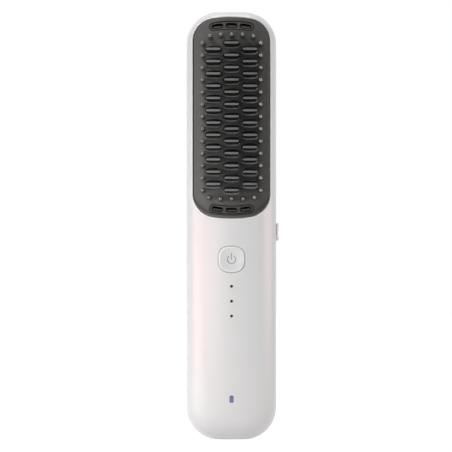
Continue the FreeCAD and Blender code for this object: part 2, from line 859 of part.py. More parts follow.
def turned_screws(label, spots, seat, length):
    """Group identical screws: heads before a seat level, shanks to the rear."""
    made = []
    for number, (across, along) in enumerate(spots):
        name = label + "_" + str(number)
        head = post(name + "_head", across, along, seat, "screw_head", "screw_head_height")
        shank_back = "(" + seat + ") - (" + length + ")"
        shank = post(name + "_shank", across, along, shank_back, "screw_shank", length)
        made.append(fuse(name, [head, shank]))
    return keep(group(label, made))


def four(across, low, high):
    """Return four screw places, two low and two high."""
    return [(sign + "(" + across + ")", along) for along in (low, high) for sign in ("-", "")]


HEAD_SCREWS = four("head_screw_x", HEAD_BOTTOM + " + head_screw_low", HEAD_TOP + " - head_screw_top")
PLATE_SCREWS = four("plate_screw_x", FIN_CENTRE + " - plate_screw_z", FIN_CENTRE + " + plate_screw_z")
CLAMP_SCREWS = four("clamp_screw_x", FIN_CENTRE + " - clamp_screw_z", FIN_CENTRE + " + clamp_screw_z")
CHASSIS_SCREWS = four(RAIL_MIDDLE, "chassis_screw_low", "chassis_screw_high")
BOARD_SCREWS = four(RAIL_MIDDLE, "board_screw_low", "board_screw_high")
USB_SCREWS = [("-usb_screw_x", "usb_screw_z"), ("usb_screw_x", "usb_screw_z")]
SCREW_HOLE = "screw_shank + screw_clearance"


def holes(label, spots, back, depth, diameter=SCREW_HOLE):
    """Make round cutters at screw places."""
    return [post(label + str(number), across, along, back, diameter, depth)
            for number, (across, along) in enumerate(spots)]


def pin_places():
    """Return the guard pins of both end rows as places across and along."""
    rows = ((HEAD_TOP + " - end_pin_inset", "-", "end_pin_pitch * "),
            (HEAD_BOTTOM + " + end_pin_low_inset", "+", "end_pin_low_pitch * "))
    places = []
    for along, way, pitch in rows:
        for step in (-2, -1, 0, 1, 2):
            drop = " " + way + " end_pin_drop" if abs(step) == 2 else ""
            places.append((pitch + str(step), along + drop))
    return places


outer = housing_form("outer_form", "0")
inner = housing_form("inner_form", "wall")


def mouth_edges(shape, floor):
    """Return a test for the outer edges of a recess whose walls rise from a floor level."""
    place = value(floor)
    marks = set()
    for face in shape.Faces:
        if abs(-face.BoundBox.YMax - place) < 1e-4 and -face.BoundBox.YMin > place + 1e-3:
            for edge in face.Edges:
                if -edge.BoundBox.YMax > place + 1e-3:
                    marks.add(edge.hashCode())
    return lambda edge: edge.hashCode() in marks


def front_form():
    """Build the outer form with the comb well and the button hole, their rims rounded."""
    body = housing_form("front_form", "0")
    start = FRONT + " + trim_margin"
    well = new_sketch(body, "XZ_Plane", ("0", "0", start))
    head_outline(well, "head_gap")
    recess = pocket(body, well, start + " - (" + FRAME_BACK + ")")
    soften(body, recess, "rim_edge", mouth_edges(recess.Shape, FRAME_BACK))
    hole = new_sketch(body, "XZ_Plane", ("0", BUTTON, start))
    size = "button_size + 2 * button_gap"
    rounded_rectangle(hole, size, size, "button_corner + button_gap")
    floor = INNER_FRONT + " - wall"
    recess = pocket(body, hole, start + " - (" + floor + ")")
    soften(body, recess, "hole_edge", mouth_edges(recess.Shape, floor))
    return body


def build_front_shell():
    """Build the front half: wall, comb well with its ledge, and every opening."""
    depth = FRONT + " + trim_margin + parting_back"
    half = box("front_half", "0", "-trim_margin", "-parting_back",
               "body_width + 2 * trim_margin", "body_length + 2 * trim_margin", depth)
    base = overlap("front_base", [front_form(), half])
    collar = prism("collar_form", lambda s: head_outline(s, "head_gap + collar_wall"),
                   "XZ_Plane", ("0", "0", LEDGE_BACK), FRONT + " - (" + LEDGE_BACK + ")")
    space = cut("front_space", inner, [collar])
    tabs = holes("tab_form", HEAD_SCREWS, LEDGE_BACK, "ledge_thickness", "head_screw_tab")
    inside = prism("ledge_form", lambda s: head_outline(s, "-ledge_width"),
                   "XZ_Plane", ("0", "0", LEDGE_BACK + " - ledge_thickness"),
                   "bed_depth + frame_thickness + 2 * ledge_thickness")
    opening = cut("ledge_opening", inside, tabs)
    tools = [space, opening]
    tools += holes("ledge_hole", HEAD_SCREWS, LEDGE_BACK + " - ledge_thickness", "3 * ledge_thickness")
    for step in range(3):
        along = LIGHT_FIRST + " - light_pitch * " + str(step)
        tools.append(post("light_hole" + str(step), "0", along, INNER_FRONT + " - wall",
                          "light_diameter + 2 * light_gap", "3 * wall"))
    tools.append(prism("lens_hole",
                       lambda s: rounded_rectangle(s, "lens_width + 2 * light_gap",
                                                   "lens_height + 2 * light_gap",
                                                   "lens_corner + light_gap", "lens_foot + light_gap"),
                       "XZ_Plane", ("0", "lens_centre", INNER_FRONT + " - wall"), "3 * wall"))
    slot_low = KNOB + " - knob_stem_length / 2 - knob_slot_gap"
    slot_height = "knob_stem_length + 2 * knob_slot_gap + knob_travel"
    slot_width = "knob_stem_width + 2 * knob_slot_gap"
    tools.append(box("knob_slot", SIDE, slot_low, SWITCH_LEVEL + " - (" + slot_width + ") / 2",
                     "4 * wall", slot_height, slot_width))
    tools.append(prism("socket_hole",
                       lambda s: stadium(s, "socket_width + 2 * socket_gap",
                                         "socket_height + 2 * socket_gap"),
                       "XY_Plane", ("0", minus("socket_level"), "-wall"), "3 * wall"))
    groove = "wall - lip_width - lip_clearance"
    tools.append(prism("lip_groove",
                       lambda s: rounded_rectangle(s, "body_width - 2 * (" + groove + ")",
                                                   "body_length - 2 * (" + groove + ")",
                                                   "end_radius - (" + groove + ")"),
                       "XZ_Plane", ("0", "body_length / 2", "-parting_back - lip_height"),
                       "2 * lip_height + lip_clearance"))
    tools.append(prism("seam_line", draw_seam, "XZ_Plane",
                       ("0", "body_length / 2", "-parting_back - seam_width"), "2 * seam_width"))
    return keep(cut("front_shell", base, tools))


def draw_seam(sketch):
    """Draw the ring that leaves a fine shadow line between the shells."""
    rectangle(sketch, "body_width + 2 * trim_margin", "body_length + 2 * trim_margin")
    rounded_rectangle(sketch, "body_width - 2 * seam_depth", "body_length - 2 * seam_depth",
                      "end_radius - seam_depth")


def build_rear_shell():
    """Build the rear half: wall, joint lip, cell ribs, bosses and ion pads."""
    back_reach = FRONT + " + trim_margin"
    half = box("rear_half", "0", "-trim_margin", minus(back_reach),
               "body_width + 2 * trim_margin", "body_length + 2 * trim_margin",
               back_reach + " - parting_back")
    skin = overlap("rear_skin", [cut("rear_hollow", outer, [inner]), half])
    lip_form = prism("lip_form",
                     lambda s: rounded_rectangle(s, "body_width - 2 * (wall - lip_width)",
                                                 "body_length - 2 * (wall - lip_width)",
                                                 "end_radius - (wall - lip_width)"),
                     "XZ_Plane", ("0", "body_length / 2", "-parting_back - lip_height"),
                     "2 * lip_height")
    lip = cut("rear_lip", lip_form, [inner])
    ribs = []
    rib_depth = FRONT + " - rib_front"
    for step in range(3):
        low = "rib_low + rib_spacing * " + str(step) + " - rib_thickness / 2"
        ribs.append(box("cell_rib" + str(step), "0", low, minus(FRONT), "rib_width",
                        "rib_thickness", rib_depth))
    for sign in ("-", "+"):
        low = ION_CENTRE + " " + sign + " ion_pad_spacing / 2 - ion_pad_height / 2"
        ribs.append(box("ion_pad" + ("a" if sign == "-" else "b"), "0", low, minus(FRONT),
                        "ion_pad_width", "ion_pad_height", FRONT + " - ion_back"))
    boss_depth = FRONT + " - rail_back"
    ribs += holes("boss_form", CHASSIS_SCREWS, minus(FRONT), boss_depth, "boss_diameter")
    inside = overlap("rear_inside", [fuse("rear_ribs", ribs), outer])
    bay = pillar("cell_space", "0", minus("cell_back"), "cell_bottom",
                 "cell_diameter + 2 * cell_rib_clearance", "cell_length")
    base = fuse("rear_base", [skin, lip, cut("rear_seats", inside, [bay])])
    deep = "-rail_back - 4 * screw_bite"
    return keep(cut("rear_shell", base, holes("boss_hole", CHASSIS_SCREWS, deep, "5 * screw_bite")))


def head_lip():
    """Build the crescent lip that closes the low end of the well, just under the body's skin."""
    block = prism("lip_block", lambda s: head_outline(s, "0"), "XZ_Plane", ("0", "0", FRAME_BACK),
                  FRONT + " - (" + FRAME_BACK + ")")
    space = prism("lip_space", lambda s: head_outline(s, "head_lip_flare"), "XZ_Plane",
                  ("0", "head_lip + head_lip_flare", FRAME_BACK + " - wall"),
                  FRONT + " - (" + FRAME_BACK + ") + 2 * wall")
    crescent = cut("lip_crescent", block, [space])
    return overlap("lip_part", [crescent, housing_form("lip_skin", "head_lip_sink")])


def build_comb_frame():
    """Build the dark crowned comb bed: fin windows, pin sockets, vent seats, screw holes."""
    body = new_body("comb_bed")
    sketch = new_sketch(body, "XZ_Plane", ("0", "0", FRAME_BACK))
    head_outline(sketch, "0")
    pad(body, sketch, "frame_thickness + bed_depth")
    crown = crown_cut(body, BED, "bed_bow")
    soften(body, crown, "frame_edge", crown_edges(crown.Shape, "bed_bow"))
    length = "fin_length + 2 * fin_window_gap"
    thickness = "fin_thickness + 2 * fin_window_gap"
    end = "fin_end + fin_window_gap"
    middle = new_sketch(body, "XZ_Plane", ("0", FIN_LOW, BED))
    oval(middle, length, thickness, end)
    window = pocket(body, middle, "frame_thickness")
    row_of(body, [window], "fin_pitch * (fin_rows - 1)", "fin_rows")
    side = new_sketch(body, "XZ_Plane", ("-fin_column_pitch", FIN_LOW + " + fin_pitch / 2", BED))
    oval(side, length, thickness, end)
    window = pocket(body, side, "frame_thickness")
    row_of(body, [window], "fin_pitch * (fin_rows - 2)", "fin_rows - 1", True)
    socket = new_sketch(body, "XZ_Plane", ("-pin_column", FIN_LOW, BED))
    disc(socket, "pin_root + 2 * pin_clearance")
    hole = pocket(body, socket, "pin_socket + " + fall("pin_column"))
    row_of(body, [hole], "fin_pitch * (fin_rows - 1)", "fin_rows", True)
    for across, along in pin_places():
        socket = new_sketch(body, "XZ_Plane", (across, along, BED))
        disc(socket, "pin_root + 2 * pin_clearance")
        pocket(body, socket, "pin_socket + " + fall(across))
    for along, turned in ((VENT_TOP, False), (VENT_LOW, True)):
        centre = along + (" + " if turned else " - ") + "vent_curve"
        reach = "(vent_length - vent_height) / 2"
        for height, depth in (("vent_height", "vent_seat"),
                              ("vent_height - 2 * vent_ledge", "frame_thickness")):
            seat = new_sketch(body, "XZ_Plane", ("0", centre, BED), turned)
            bent_slot(seat, "vent_curve", minus(reach), reach, height)
            pocket(body, seat, depth)
    for across, along in HEAD_SCREWS + PLATE_SCREWS:
        pilot = new_sketch(body, "XZ_Plane", (across, along, FRAME_BACK + " + screw_bite + screw_clearance"))
        disc(pilot, SCREW_HOLE)
        pocket(body, pilot, "screw_bite + 2 * screw_clearance")
    return keep(fuse("comb_frame", [body, head_lip()]))


def build_fins():
    """Build the heated fins: an oval foot that passes the bed, a flared waist and a thin tip."""
    body = new_body("heating_fins")
    body.AllowCompound = True
    columns = (("0", FIN_LOW, "fin_pitch * (fin_rows - 1)", "fin_rows", False),
               ("-fin_column_pitch", FIN_LOW + " + fin_pitch / 2", "fin_pitch * (fin_rows - 2)",
                "fin_rows - 1", True))
    for across, along, length, count, mirrored in columns:
        bed = BED + " - " + fall(across)
        levels = (
            (FRAME_BACK, "fin_length", "fin_thickness", "fin_end"),
            (bed, "fin_length", "fin_thickness", "fin_end"),
            (bed + " + fin_waist_height", "fin_waist_length", "fin_waist_thickness", "fin_waist_end"),
            (bed + " + fin_height - fin_tip_bevel", "fin_shoulder_length", "fin_shoulder_thickness",
             "fin_shoulder_end"),
            (bed + " + fin_height", "fin_tip_length", "fin_tip_thickness", "fin_tip_end"),
        )
        stack = []
        for level, long, thick, end in levels:
            sketch = new_sketch(body, "XZ_Plane", (across, along, level))
            oval(sketch, long, thick, end)
            stack.append(sketch)
        doc.recompute()
        fin = body.newObject("PartDesign::AdditiveLoft", "fin")
        fin.Profile = stack[0]
        fin.Sections = stack[1:]
        fin.Ruled = True
        doc.recompute()
        row_of(body, [fin], length, count, mirrored)
    return keep(body)


def build_pins():
    """Build the guard pins: a plain root in its socket, a taper and a round tip."""
    master = new_body("pin_form")
    sketch = new_sketch(master, "XY_Plane")
    floor = minus(BED + " - pin_socket")
    tip = minus(BED + " + pin_height")
    outline_points(sketch, [("0", floor), ("pin_root / 2", floor), ("pin_root / 2", minus(BED)),
                            ("pin_tip / 2", tip), ("0", tip)])
    turn = revolve(master, sketch)
    soften(master, turn, "pin_round", at_level(BED + " + pin_height"))
    places = []
    for step in range(int(SIZES["fin_rows"])):
        for sign in ("-", ""):
            places.append((sign + "pin_column", FIN_LOW + " + fin_pitch * " + str(step)))
    places += pin_places()
    made = []
    for number, (across, along) in enumerate(places):
        copy = doc.addObject("App::Link", "pin_" + str(number))
        copy.LinkedObject = master
        bind(copy, "Placement.Base.x", across)
        bind(copy, "Placement.Base.y", fall(across))
        bind(copy, "Placement.Base.z", along)
        made.append(copy)
    return keep(group("guard_pins", made))


def build_grille(label, along, turned):
    """Build one vent insert: a bent, crowned slot plate with three louvred slots."""
    body = new_body(label)
    centre = along + (" + " if turned else " - ") + "vent_curve"
    front = GRILLE_BACK + " + grille_thickness"
    reach = "(vent_length - vent_height) / 2"
    sketch = new_sketch(body, "XZ_Plane", ("0", centre, GRILLE_BACK), turned)
    bent_slot(sketch, "vent_curve", minus(reach), reach, "vent_height - 2 * vent_gap")
    pad(body, sketch, "grille_thickness + vent_seat")
    crown = crown_cut(body, front, "bed_bow")
    soften(body, crown, "grille_edge", crown_edges(crown.Shape, "bed_bow"))
    half = "(slot_length - slot_height) / 2"
    upward, downward = (" - ", " + ") if turned else (" + ", " - ")
    wide = "((slot_height - louver_height) / 2 + louver_drop)"
    thin = "((slot_height - louver_height) / 2 - louver_drop)"
    louver = "(louver_length - louver_height) / 2"
    steps = ((pocket, front, "vent_curve", half, "slot_height", "slot_depth"),
             (pocket, front, "vent_curve" + upward + "(slot_height - " + wide + ") / 2", half, wide,
              "grille_thickness"),
             (pocket, front, "vent_curve" + downward + "(slot_height - " + thin + ") / 2", half, thin,
              "grille_thickness"),
             (pad, front + " - slot_depth", "vent_curve" + downward + "louver_drop", louver, "louver_height",
              "slot_depth - louver_sink"))
    for work, level, curve, span, height, depth in steps:
        slot = new_sketch(body, "XZ_Plane", ("0", centre, level), turned)
        bent_slot(slot, curve, minus(span), span, height)
        work(body, slot, depth)
        slot = new_sketch(body, "XZ_Plane", ("0", centre, level), turned)
        bent_slot(slot, curve, "slot_pitch - " + span, "slot_pitch + " + span, height)
        mirror_of(body, [work(body, slot, depth)])
    return keep(body)


def build_heating():
    """Build the plate behind the bed, its heaters, clamp, sensors and leads."""
    plate = new_body("plate_form")
    sketch = new_sketch(plate, "XZ_Plane", ("0", FIN_CENTRE, PLATE_BACK))
    rounded_rectangle(sketch, "plate_width", "plate_height", "plate_corner")
    pad(plate, sketch, "plate_thickness")
    posts = holes("clamp_boss", CLAMP_SCREWS, MICA_BACK, "heater_thickness + mica_thickness", "clamp_post")
    through = holes("plate_hole", PLATE_SCREWS, PLATE_BACK + " - plate_thickness", "3 * plate_thickness")
    blind = holes("clamp_pilot", CLAMP_SCREWS, MICA_BACK + " - screw_bite",
                  "screw_bite + heater_thickness + mica_thickness + plate_thickness / 2")
    keep(cut("heating_plate", fuse("plate_base", [plate] + posts), through + blind))
    low = FIN_CENTRE + " - heater_height / 2"
    pair = [box("heater_" + name, sign + "heater_spacing / 2", low, HEATER_BACK, "heater_width",
                "heater_height", "heater_thickness") for name, sign in (("left", "-"), ("right", ""))]
    keep(group("heater_elements", pair))
    keep(box("insulation_sheet", "0", FIN_CENTRE + " - mica_height / 2", MICA_BACK, "mica_width",
             "mica_height", "mica_thickness"))
    clamp = new_body("clamp_form")
    sketch = new_sketch(clamp, "XZ_Plane", ("0", FIN_CENTRE, CLAMP_BACK))
    rounded_rectangle(sketch, "clamp_width", "clamp_height", "clamp_corner")
    pad(clamp, sketch, "clamp_thickness")
    keep(cut("heater_clamp", clamp, holes("clamp_hole", CLAMP_SCREWS, CLAMP_BACK + " - clamp_thickness",
                                          "3 * clamp_thickness")))
    keep(box("thermistor", "0", FIN_CENTRE + " - thermistor_height / 2", HEATER_BACK,
             "thermistor_width", "thermistor_height", "heater_thickness"))
    keep(pillar("thermal_fuse", "0", CLAMP_BACK + " - fuse_diameter / 2", FIN_CENTRE + " - fuse_length / 2",
                "fuse_diameter", "fuse_length"))
    level = HEATER_BACK + " + heater_thickness / 2"
    leads = [pillar("lead_" + name, sign + "lead_column", level, BOARD_TOP, "lead_diameter",
                    low + " - (" + BOARD_TOP + ")") for name, sign in (("left", "-"), ("right", ""))]
    keep(group("heater_leads", leads))
    screws("clamp_screws", CLAMP_SCREWS, CLAMP_BACK, "clamp_thickness + heater_thickness + mica_thickness")
    screws("plate_screws", PLATE_SCREWS, PLATE_BACK, "plate_thickness + screw_bite")
    screws("head_screws", HEAD_SCREWS, LEDGE_BACK, "ledge_thickness + screw_bite")


def build_ions():
    """Build the ion generator on the rear pads and its two emitters behind the vents."""
    keep(box("ion_module", "0", ION_CENTRE + " - ion_height / 2", minus("ion_back"), "ion_width",
             "ion_height", "ion_thickness"))
    made = []
    for name, along in (("top", VENT_TOP), ("low", VENT_LOW)):
        block = box("emitter_" + name, "0", along + " - emitter_height / 2",
                    FRAME_BACK + " - emitter_thickness", "emitter_width", "emitter_height",
                    "emitter_thickness")
        needle = post("needle_" + name, "0", along, FRAME_BACK, "needle_diameter", "needle_length")
        made.append(fuse("emitter_unit_" + name, [block, needle]))
    keep(group("ion_emitters", made))


def build_button():
    """Build the dished power button with its flange and stem, and the switch under it."""
    body = new_body("power_button")
    top = FRONT + " + button_proud"
    sketch = new_sketch(body, "XZ_Plane", ("0", BUTTON, BUTTON_FLANGE_BACK))
    rounded_rectangle(sketch, "button_size", "button_size", "button_corner")
    cap = pad(body, sketch, top + " - (" + BUTTON_FLANGE_BACK + ")")
    soften(body, cap, "button_edge", at_level(top))
    sketch = new_sketch(body, "XZ_Plane", ("0", BUTTON, BUTTON_FLANGE_BACK))
    rounded_rectangle(sketch, "button_size + 2 * button_flange", "button_size + 2 * button_flange",
                      "button_corner + button_flange")
    pad(body, sketch, "button_flange_thickness")
    sketch = new_sketch(body, "XZ_Plane", ("0", BUTTON, PLUNGER_TOP))
    disc(sketch, "button_stem")
    pad(body, sketch, BUTTON_FLANGE_BACK + " - (" + PLUNGER_TOP + ")")
    dish = body.newObject("PartDesign::SubtractiveSphere", "button_dish")
    bind(dish, "Radius", "button_dish_radius")
    bind(dish, "Placement.Base.y", minus(top + " - button_dish + button_dish_radius"))
    bind(dish, "Placement.Base.z", BUTTON)
    doc.recompute()
    keep(body)
    bore = "plunger_depth + button_travel + tact_clearance"
    case = box("tact_case", "0", BUTTON + " - tact_size / 2", "board_front", "tact_size",
               "tact_size", "tact_height")
    hole = post("tact_bore", "0", BUTTON, "board_front + tact_height - (" + bore + ")",
                "plunger_diameter + 2 * tact_clearance", "2 * (" + bore + ")")
    keep(cut("tact_switch", case, [hole]))
    keep(post("tact_plunger", "0", BUTTON, "board_front + tact_height - plunger_depth",
              "plunger_diameter", "plunger_depth + plunger_rise"))


def build_side_switch():
    """Build the side slider: outer knob, stem through the wall, lever and switch case."""
    face = SIDE + " + knob_gap"
    body = new_body("knob_cap")
    sketch = new_sketch(body, "YZ_Plane", (minus(SWITCH_LEVEL), KNOB, face))
    rounded_rectangle(sketch, "knob_width", "knob_length", "knob_corner")
    cap = pad(body, sketch, "knob_rise")
    rim = value(face + " + knob_rise")
    soften(body, cap, "knob_round", lambda edge: abs(edge.BoundBox.XMin - rim) < 1e-4)
    sag = "(knob_rise - knob_edge)"
    bow = "((knob_width * knob_width / 4 + " + sag + " * " + sag + ") / (2 * " + sag + "))"
    arch = pillar("knob_arch", face + " + knob_rise - " + bow, SWITCH_LEVEL, KNOB + " - knob_length",
                  "2 * " + bow, "2 * knob_length")
    dome = overlap("knob_dome", [body, arch])
    stem_in = SWITCH_FACE + " + knob_stem_gap"
    stem_low = KNOB + " - knob_stem_length / 2"
    stem = box("knob_stem", "(" + stem_in + " + " + face + ") / 2", stem_low,
               SWITCH_LEVEL + " - knob_stem_width / 2", face + " - (" + stem_in + ")",
               "knob_stem_length", "knob_stem_width")
    lug = box("knob_lug", INNER_SIDE + " - knob_lug_gap - knob_lug_thickness / 2", stem_low,
              SWITCH_LEVEL + " - knob_lug_width / 2", "knob_lug_thickness", "knob_stem_length",
              "knob_lug_width")
    fit = "lever_size + 2 * lever_fit"
    grip_out = SWITCH_FACE + " + lever_reach + lever_fit"
    grip = box("knob_grip", stem_in, KNOB + " - (" + fit + ") / 2",
               SWITCH_LEVEL + " - (" + fit + ") / 2", "2 * (" + grip_out + " - (" + stem_in + "))", fit, fit)
    grooves = []
    for step in (-1, 0, 1):
        low = KNOB + " - knob_groove / 2 + knob_groove_pitch * " + str(step)
        grooves.append(box("knob_line" + str(step + 1), face + " + knob_rise", low,
                           SWITCH_LEVEL + " - knob_width", "2 * knob_groove_depth", "knob_groove",
                           "2 * knob_width"))
    keep(cut("slide_knob", fuse("knob_base", [dome, stem, lug]), [grip] + grooves))
    case = box("slide_case", SWITCH_FACE + " - switch_width / 2",
               KNOB + " + knob_travel / 2 - switch_length / 2", BOARD_BACK + " - switch_height",
               "switch_width", "switch_length", "switch_height")
    slot = box("slide_slot", SWITCH_FACE, KNOB + " - (" + fit + ") / 2",
               SWITCH_LEVEL + " - (" + fit + ") / 2", "2 * switch_slot_depth",
               fit + " + knob_travel", fit)
    keep(cut("slide_switch", case, [slot]))
    keep(box("slide_lever", SWITCH_FACE + " + (lever_reach - switch_slot_depth + lever_fit) / 2",
             KNOB + " - lever_size / 2", SWITCH_LEVEL + " - lever_size / 2",
             "lever_reach + switch_slot_depth - lever_fit", "lever_size", "lever_size"))


def build_lights():
    """Build the light guide, the battery lens and the lamps behind them."""
    bar_front = INNER_FRONT + " - pipe_seat"
    bar = box("pipe_bar", "0", LIGHT_LAST + " - pipe_margin", bar_front + " - pipe_thickness",
              "pipe_width", "light_pitch * 2 + 2 * pipe_margin", "pipe_thickness")
    rods = [post("pipe_rod" + str(step), "0", LIGHT_FIRST + " - light_pitch * " + str(step), bar_front,
                 "light_diameter", "wall + pipe_seat - light_sink") for step in range(3)]
    keep(fuse("light_pipe", [bar] + rods))
    lens = new_body("battery_lens")
    sketch = new_sketch(lens, "XZ_Plane", ("0", "lens_centre", bar_front))
    rounded_rectangle(sketch, "lens_width", "lens_height", "lens_corner", "lens_foot")
    pad(lens, sketch, "wall + pipe_seat - light_sink")
    sketch = new_sketch(lens, "XZ_Plane", ("0", "lens_centre", bar_front + " - pipe_thickness"))
    rounded_rectangle(sketch, "lens_width + 2 * lens_rim", "lens_height + 2 * lens_rim",
                      "lens_corner + lens_rim")
    pad(lens, sketch, "pipe_thickness")
    keep(lens)
    spots = [LIGHT_FIRST + " - light_pitch * " + str(step) for step in range(3)] + ["lens_centre"]
    lamps = [box("lamp" + str(number), "0", along + " - led_size / 2", "board_front", "led_size",
                 "led_size", "led_height") for number, along in enumerate(spots)]
    keep(group("indicator_leds", lamps))


def build_boards():
    """Build the control board with its chip and coil, and the charging socket's unit."""
    body = new_body("board_form")
    sketch = new_sketch(body, "XZ_Plane", ("0", "(board_bottom + " + BOARD_TOP + ") / 2", BOARD_BACK))
    rounded_rectangle(sketch, "board_width", BOARD_TOP + " - board_bottom", "board_corner")
    pad(body, sketch, "board_thickness")
    keep(cut("control_board", body, holes("board_hole", BOARD_SCREWS, BOARD_BACK + " - board_thickness",
                                          "3 * board_thickness")))
    keep(box("controller_chip", "0", "chip_centre - chip_size / 2", "board_front", "chip_size",
             "chip_size", "chip_height"))
    keep(post("power_coil", "0", "coil_centre", "board_front", "coil_diameter", "coil_height"))
    shell = new_body("usb_socket_shell")
    sketch = new_sketch(shell, "XY_Plane", ("0", minus("socket_level"), "socket_sink"))
    stadium(sketch, "socket_width", "socket_height")
    pad(shell, sketch, "socket_depth")
    inner_end = "socket_sink + socket_depth - socket_wall"
    sketch = new_sketch(shell, "XY_Plane", ("0", minus("socket_level"), inner_end))
    stadium(sketch, "socket_width - 2 * socket_wall", "socket_height - 2 * socket_wall")
    pocket(shell, sketch, "socket_depth")
    keep(shell)
    keep(box("usb_socket_tongue", "0", inner_end + " - tongue_length",
             "socket_level - tongue_height / 2", "tongue_width", "tongue_length", "tongue_height"))
    board = box("usb_board_form", "0", "usb_board_bottom", USB_BOARD_BACK, "usb_board_width",
                "usb_board_height", "usb_board_thickness")
    keep(cut("usb_board", board, holes("usb_hole", USB_SCREWS, USB_BOARD_BACK + " - usb_board_thickness",
                                       "3 * usb_board_thickness")))
    keep(box("usb_ribbon", "0", "ribbon_height", USB_BOARD_FRONT, "ribbon_width", "ribbon_thickness",
             BOARD_BACK + " - (" + USB_BOARD_FRONT + ")"))
    turned_screws("usb_screws", USB_SCREWS, USB_BOARD_FRONT, "usb_board_thickness + screw_bite")
    turned_screws("board_screws", BOARD_SCREWS, "board_front", "board_thickness + 2 * screw_bite")


def build_battery():
    """Build the cell, its tabs and the carrier that holds cell and boards."""
    can = pillar("cell_can", "0", minus("cell_back"), "cell_bottom", "cell_diameter",
                 "cell_length - cell_nub_rise")
    nub = pillar("cell_nub_form", "0", minus("cell_back"), "cell_bottom + cell_length - cell_nub_rise",
                 "cell_nub", "cell_nub_rise")
    keep(fuse("battery_cell", [can, nub]))
    reach = BOARD_BACK + " + tab_reach"
    tabs = [box("tab_" + name, "0", low, "-tab_reach", "tab_width", "tab_thickness", reach)
            for name, low in (("low", END_LOW), ("top", "cell_bottom + cell_length"))]
    keep(group("battery_tabs", tabs))
    depth = BOARD_BACK + " + rail_back"
    rail_low = END_LOW + " - end_wall"
    tall = END_HIGH + " + end_wall - (" + rail_low + ")"
    whole = box("carrier_block", "0", rail_low, "-rail_back", "2 * (" + RAIL_INSIDE + " + rail_width)",
                tall, depth)
    bay = box("carrier_bay", "0", END_LOW, "-rail_back - wall", "2 * (" + RAIL_INSIDE + ")",
              END_HIGH + " - (" + END_LOW + ")", depth + " + 2 * wall")
    tail = box("carrier_tail", "0", "tail_bottom", "-rail_back", "tail_width",
               rail_low + " - tail_bottom", "rail_back + " + USB_BOARD_BACK)
    tools = holes("carrier_hole", CHASSIS_SCREWS, "-rail_back - wall", depth + " + 2 * wall")
    tools += holes("carrier_seat", CHASSIS_SCREWS, "chassis_seat", depth,
                   "screw_head + 2 * screw_clearance")
    tools += holes("carrier_pilot", BOARD_SCREWS, BOARD_BACK + " - 2 * screw_bite - screw_clearance",
                   "3 * screw_bite")
    tools += holes("tail_pilot", USB_SCREWS, USB_BOARD_BACK + " - screw_bite - screw_clearance",
                   "2 * screw_bite")
    frame = cut("carrier_open", whole, [bay])
    keep(cut("battery_carrier", fuse("carrier_base", [frame, tail]), tools))
    turned_screws("carrier_screws", CHASSIS_SCREWS, "chassis_seat",
                  "chassis_seat + rail_back + 3 * screw_bite")


build_front_shell()
build_rear_shell()
build_comb_frame()
build_fins()
build_pins()
build_grille("upper_vent_grille", VENT_TOP, False)
build_grille("lower_vent_grille", VENT_LOW, True)
build_heating()
build_ions()
build_button()
build_side_switch()
build_lights()
build_boards()
build_battery()
doc.recompute()

os.makedirs("parts", exist_ok=True)
for item in doc.Objects:
    if "Invalid" in item.State or "Error" in item.State:
        raise RuntimeError("failed object: " + item.Label)
for item in nodes:
    shape = item.Shape
    if shape.isNull() or not shape.isValid():
        raise RuntimeError("bad shape: " + item.Label)
    shape.exportStep("parts/" + item.Label + ".step")
    print(item.Label, len(shape.Solids), round(shape.Volume, 2))
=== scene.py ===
"""Dressed model of a cordless hair straightening brush.

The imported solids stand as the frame, in metres, with the comb head on top and its teeth
towards minus Y. Each sub-assembly gives its solids their finishes and adds the small
printed and plated pieces that the solids leave out.
"""

import logging
import math
from dataclasses import dataclass, field
from enum import Enum

import bmesh
import bpy
from mathutils import Matrix, Vector
from mathutils.bvhtree import BVHTree


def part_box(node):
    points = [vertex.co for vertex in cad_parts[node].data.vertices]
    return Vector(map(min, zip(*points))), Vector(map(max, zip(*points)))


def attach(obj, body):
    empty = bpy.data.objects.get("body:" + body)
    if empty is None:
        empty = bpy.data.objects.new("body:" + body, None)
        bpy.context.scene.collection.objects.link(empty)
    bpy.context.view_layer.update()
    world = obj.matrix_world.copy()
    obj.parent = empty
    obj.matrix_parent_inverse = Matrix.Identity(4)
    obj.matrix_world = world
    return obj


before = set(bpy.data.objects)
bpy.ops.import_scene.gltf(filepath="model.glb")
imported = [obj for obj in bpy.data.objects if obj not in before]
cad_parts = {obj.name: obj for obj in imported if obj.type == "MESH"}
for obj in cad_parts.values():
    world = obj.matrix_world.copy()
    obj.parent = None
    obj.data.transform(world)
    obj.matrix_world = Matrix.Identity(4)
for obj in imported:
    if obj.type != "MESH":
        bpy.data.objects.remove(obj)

LOG = logging.getLogger("straightening_brush")
MM = 0.001
UM = 0.001 * MM

Color = tuple[float, float, float]
Place = tuple[float, float, float]
Socket = bpy.types.NodeSocket
Node = bpy.types.Node

UNSTRETCHED: Place = (1.0, 1.0, 1.0)


class Body(Enum):
    """The rigid bodies that new pieces ride on."""

    HOUSING = "housing"
    BUTTON = "power_button"


class Field(Enum):
    """The kinds of socket that a shared effect has."""

    NUMBER = "NodeSocketFloat"
    COLOR = "NodeSocketColor"


def opaque(color: Color) -> tuple[float, float, float, float]:
    """Return a colour with full alpha."""
    return (*color, 1.0)


def fields(colors: str, numbers: str = "") -> dict[str, Field]:
    """List an effect's sockets, the colours first.

    Args:
        colors: Names of the colour sockets, with spaces between.
        numbers: Names of the number sockets, with spaces between.

    Returns:
        The kind of each socket, by name.
    """
    listed = dict.fromkeys(colors.split(), Field.COLOR)
    listed.update(dict.fromkeys(numbers.split(), Field.NUMBER))
    return listed


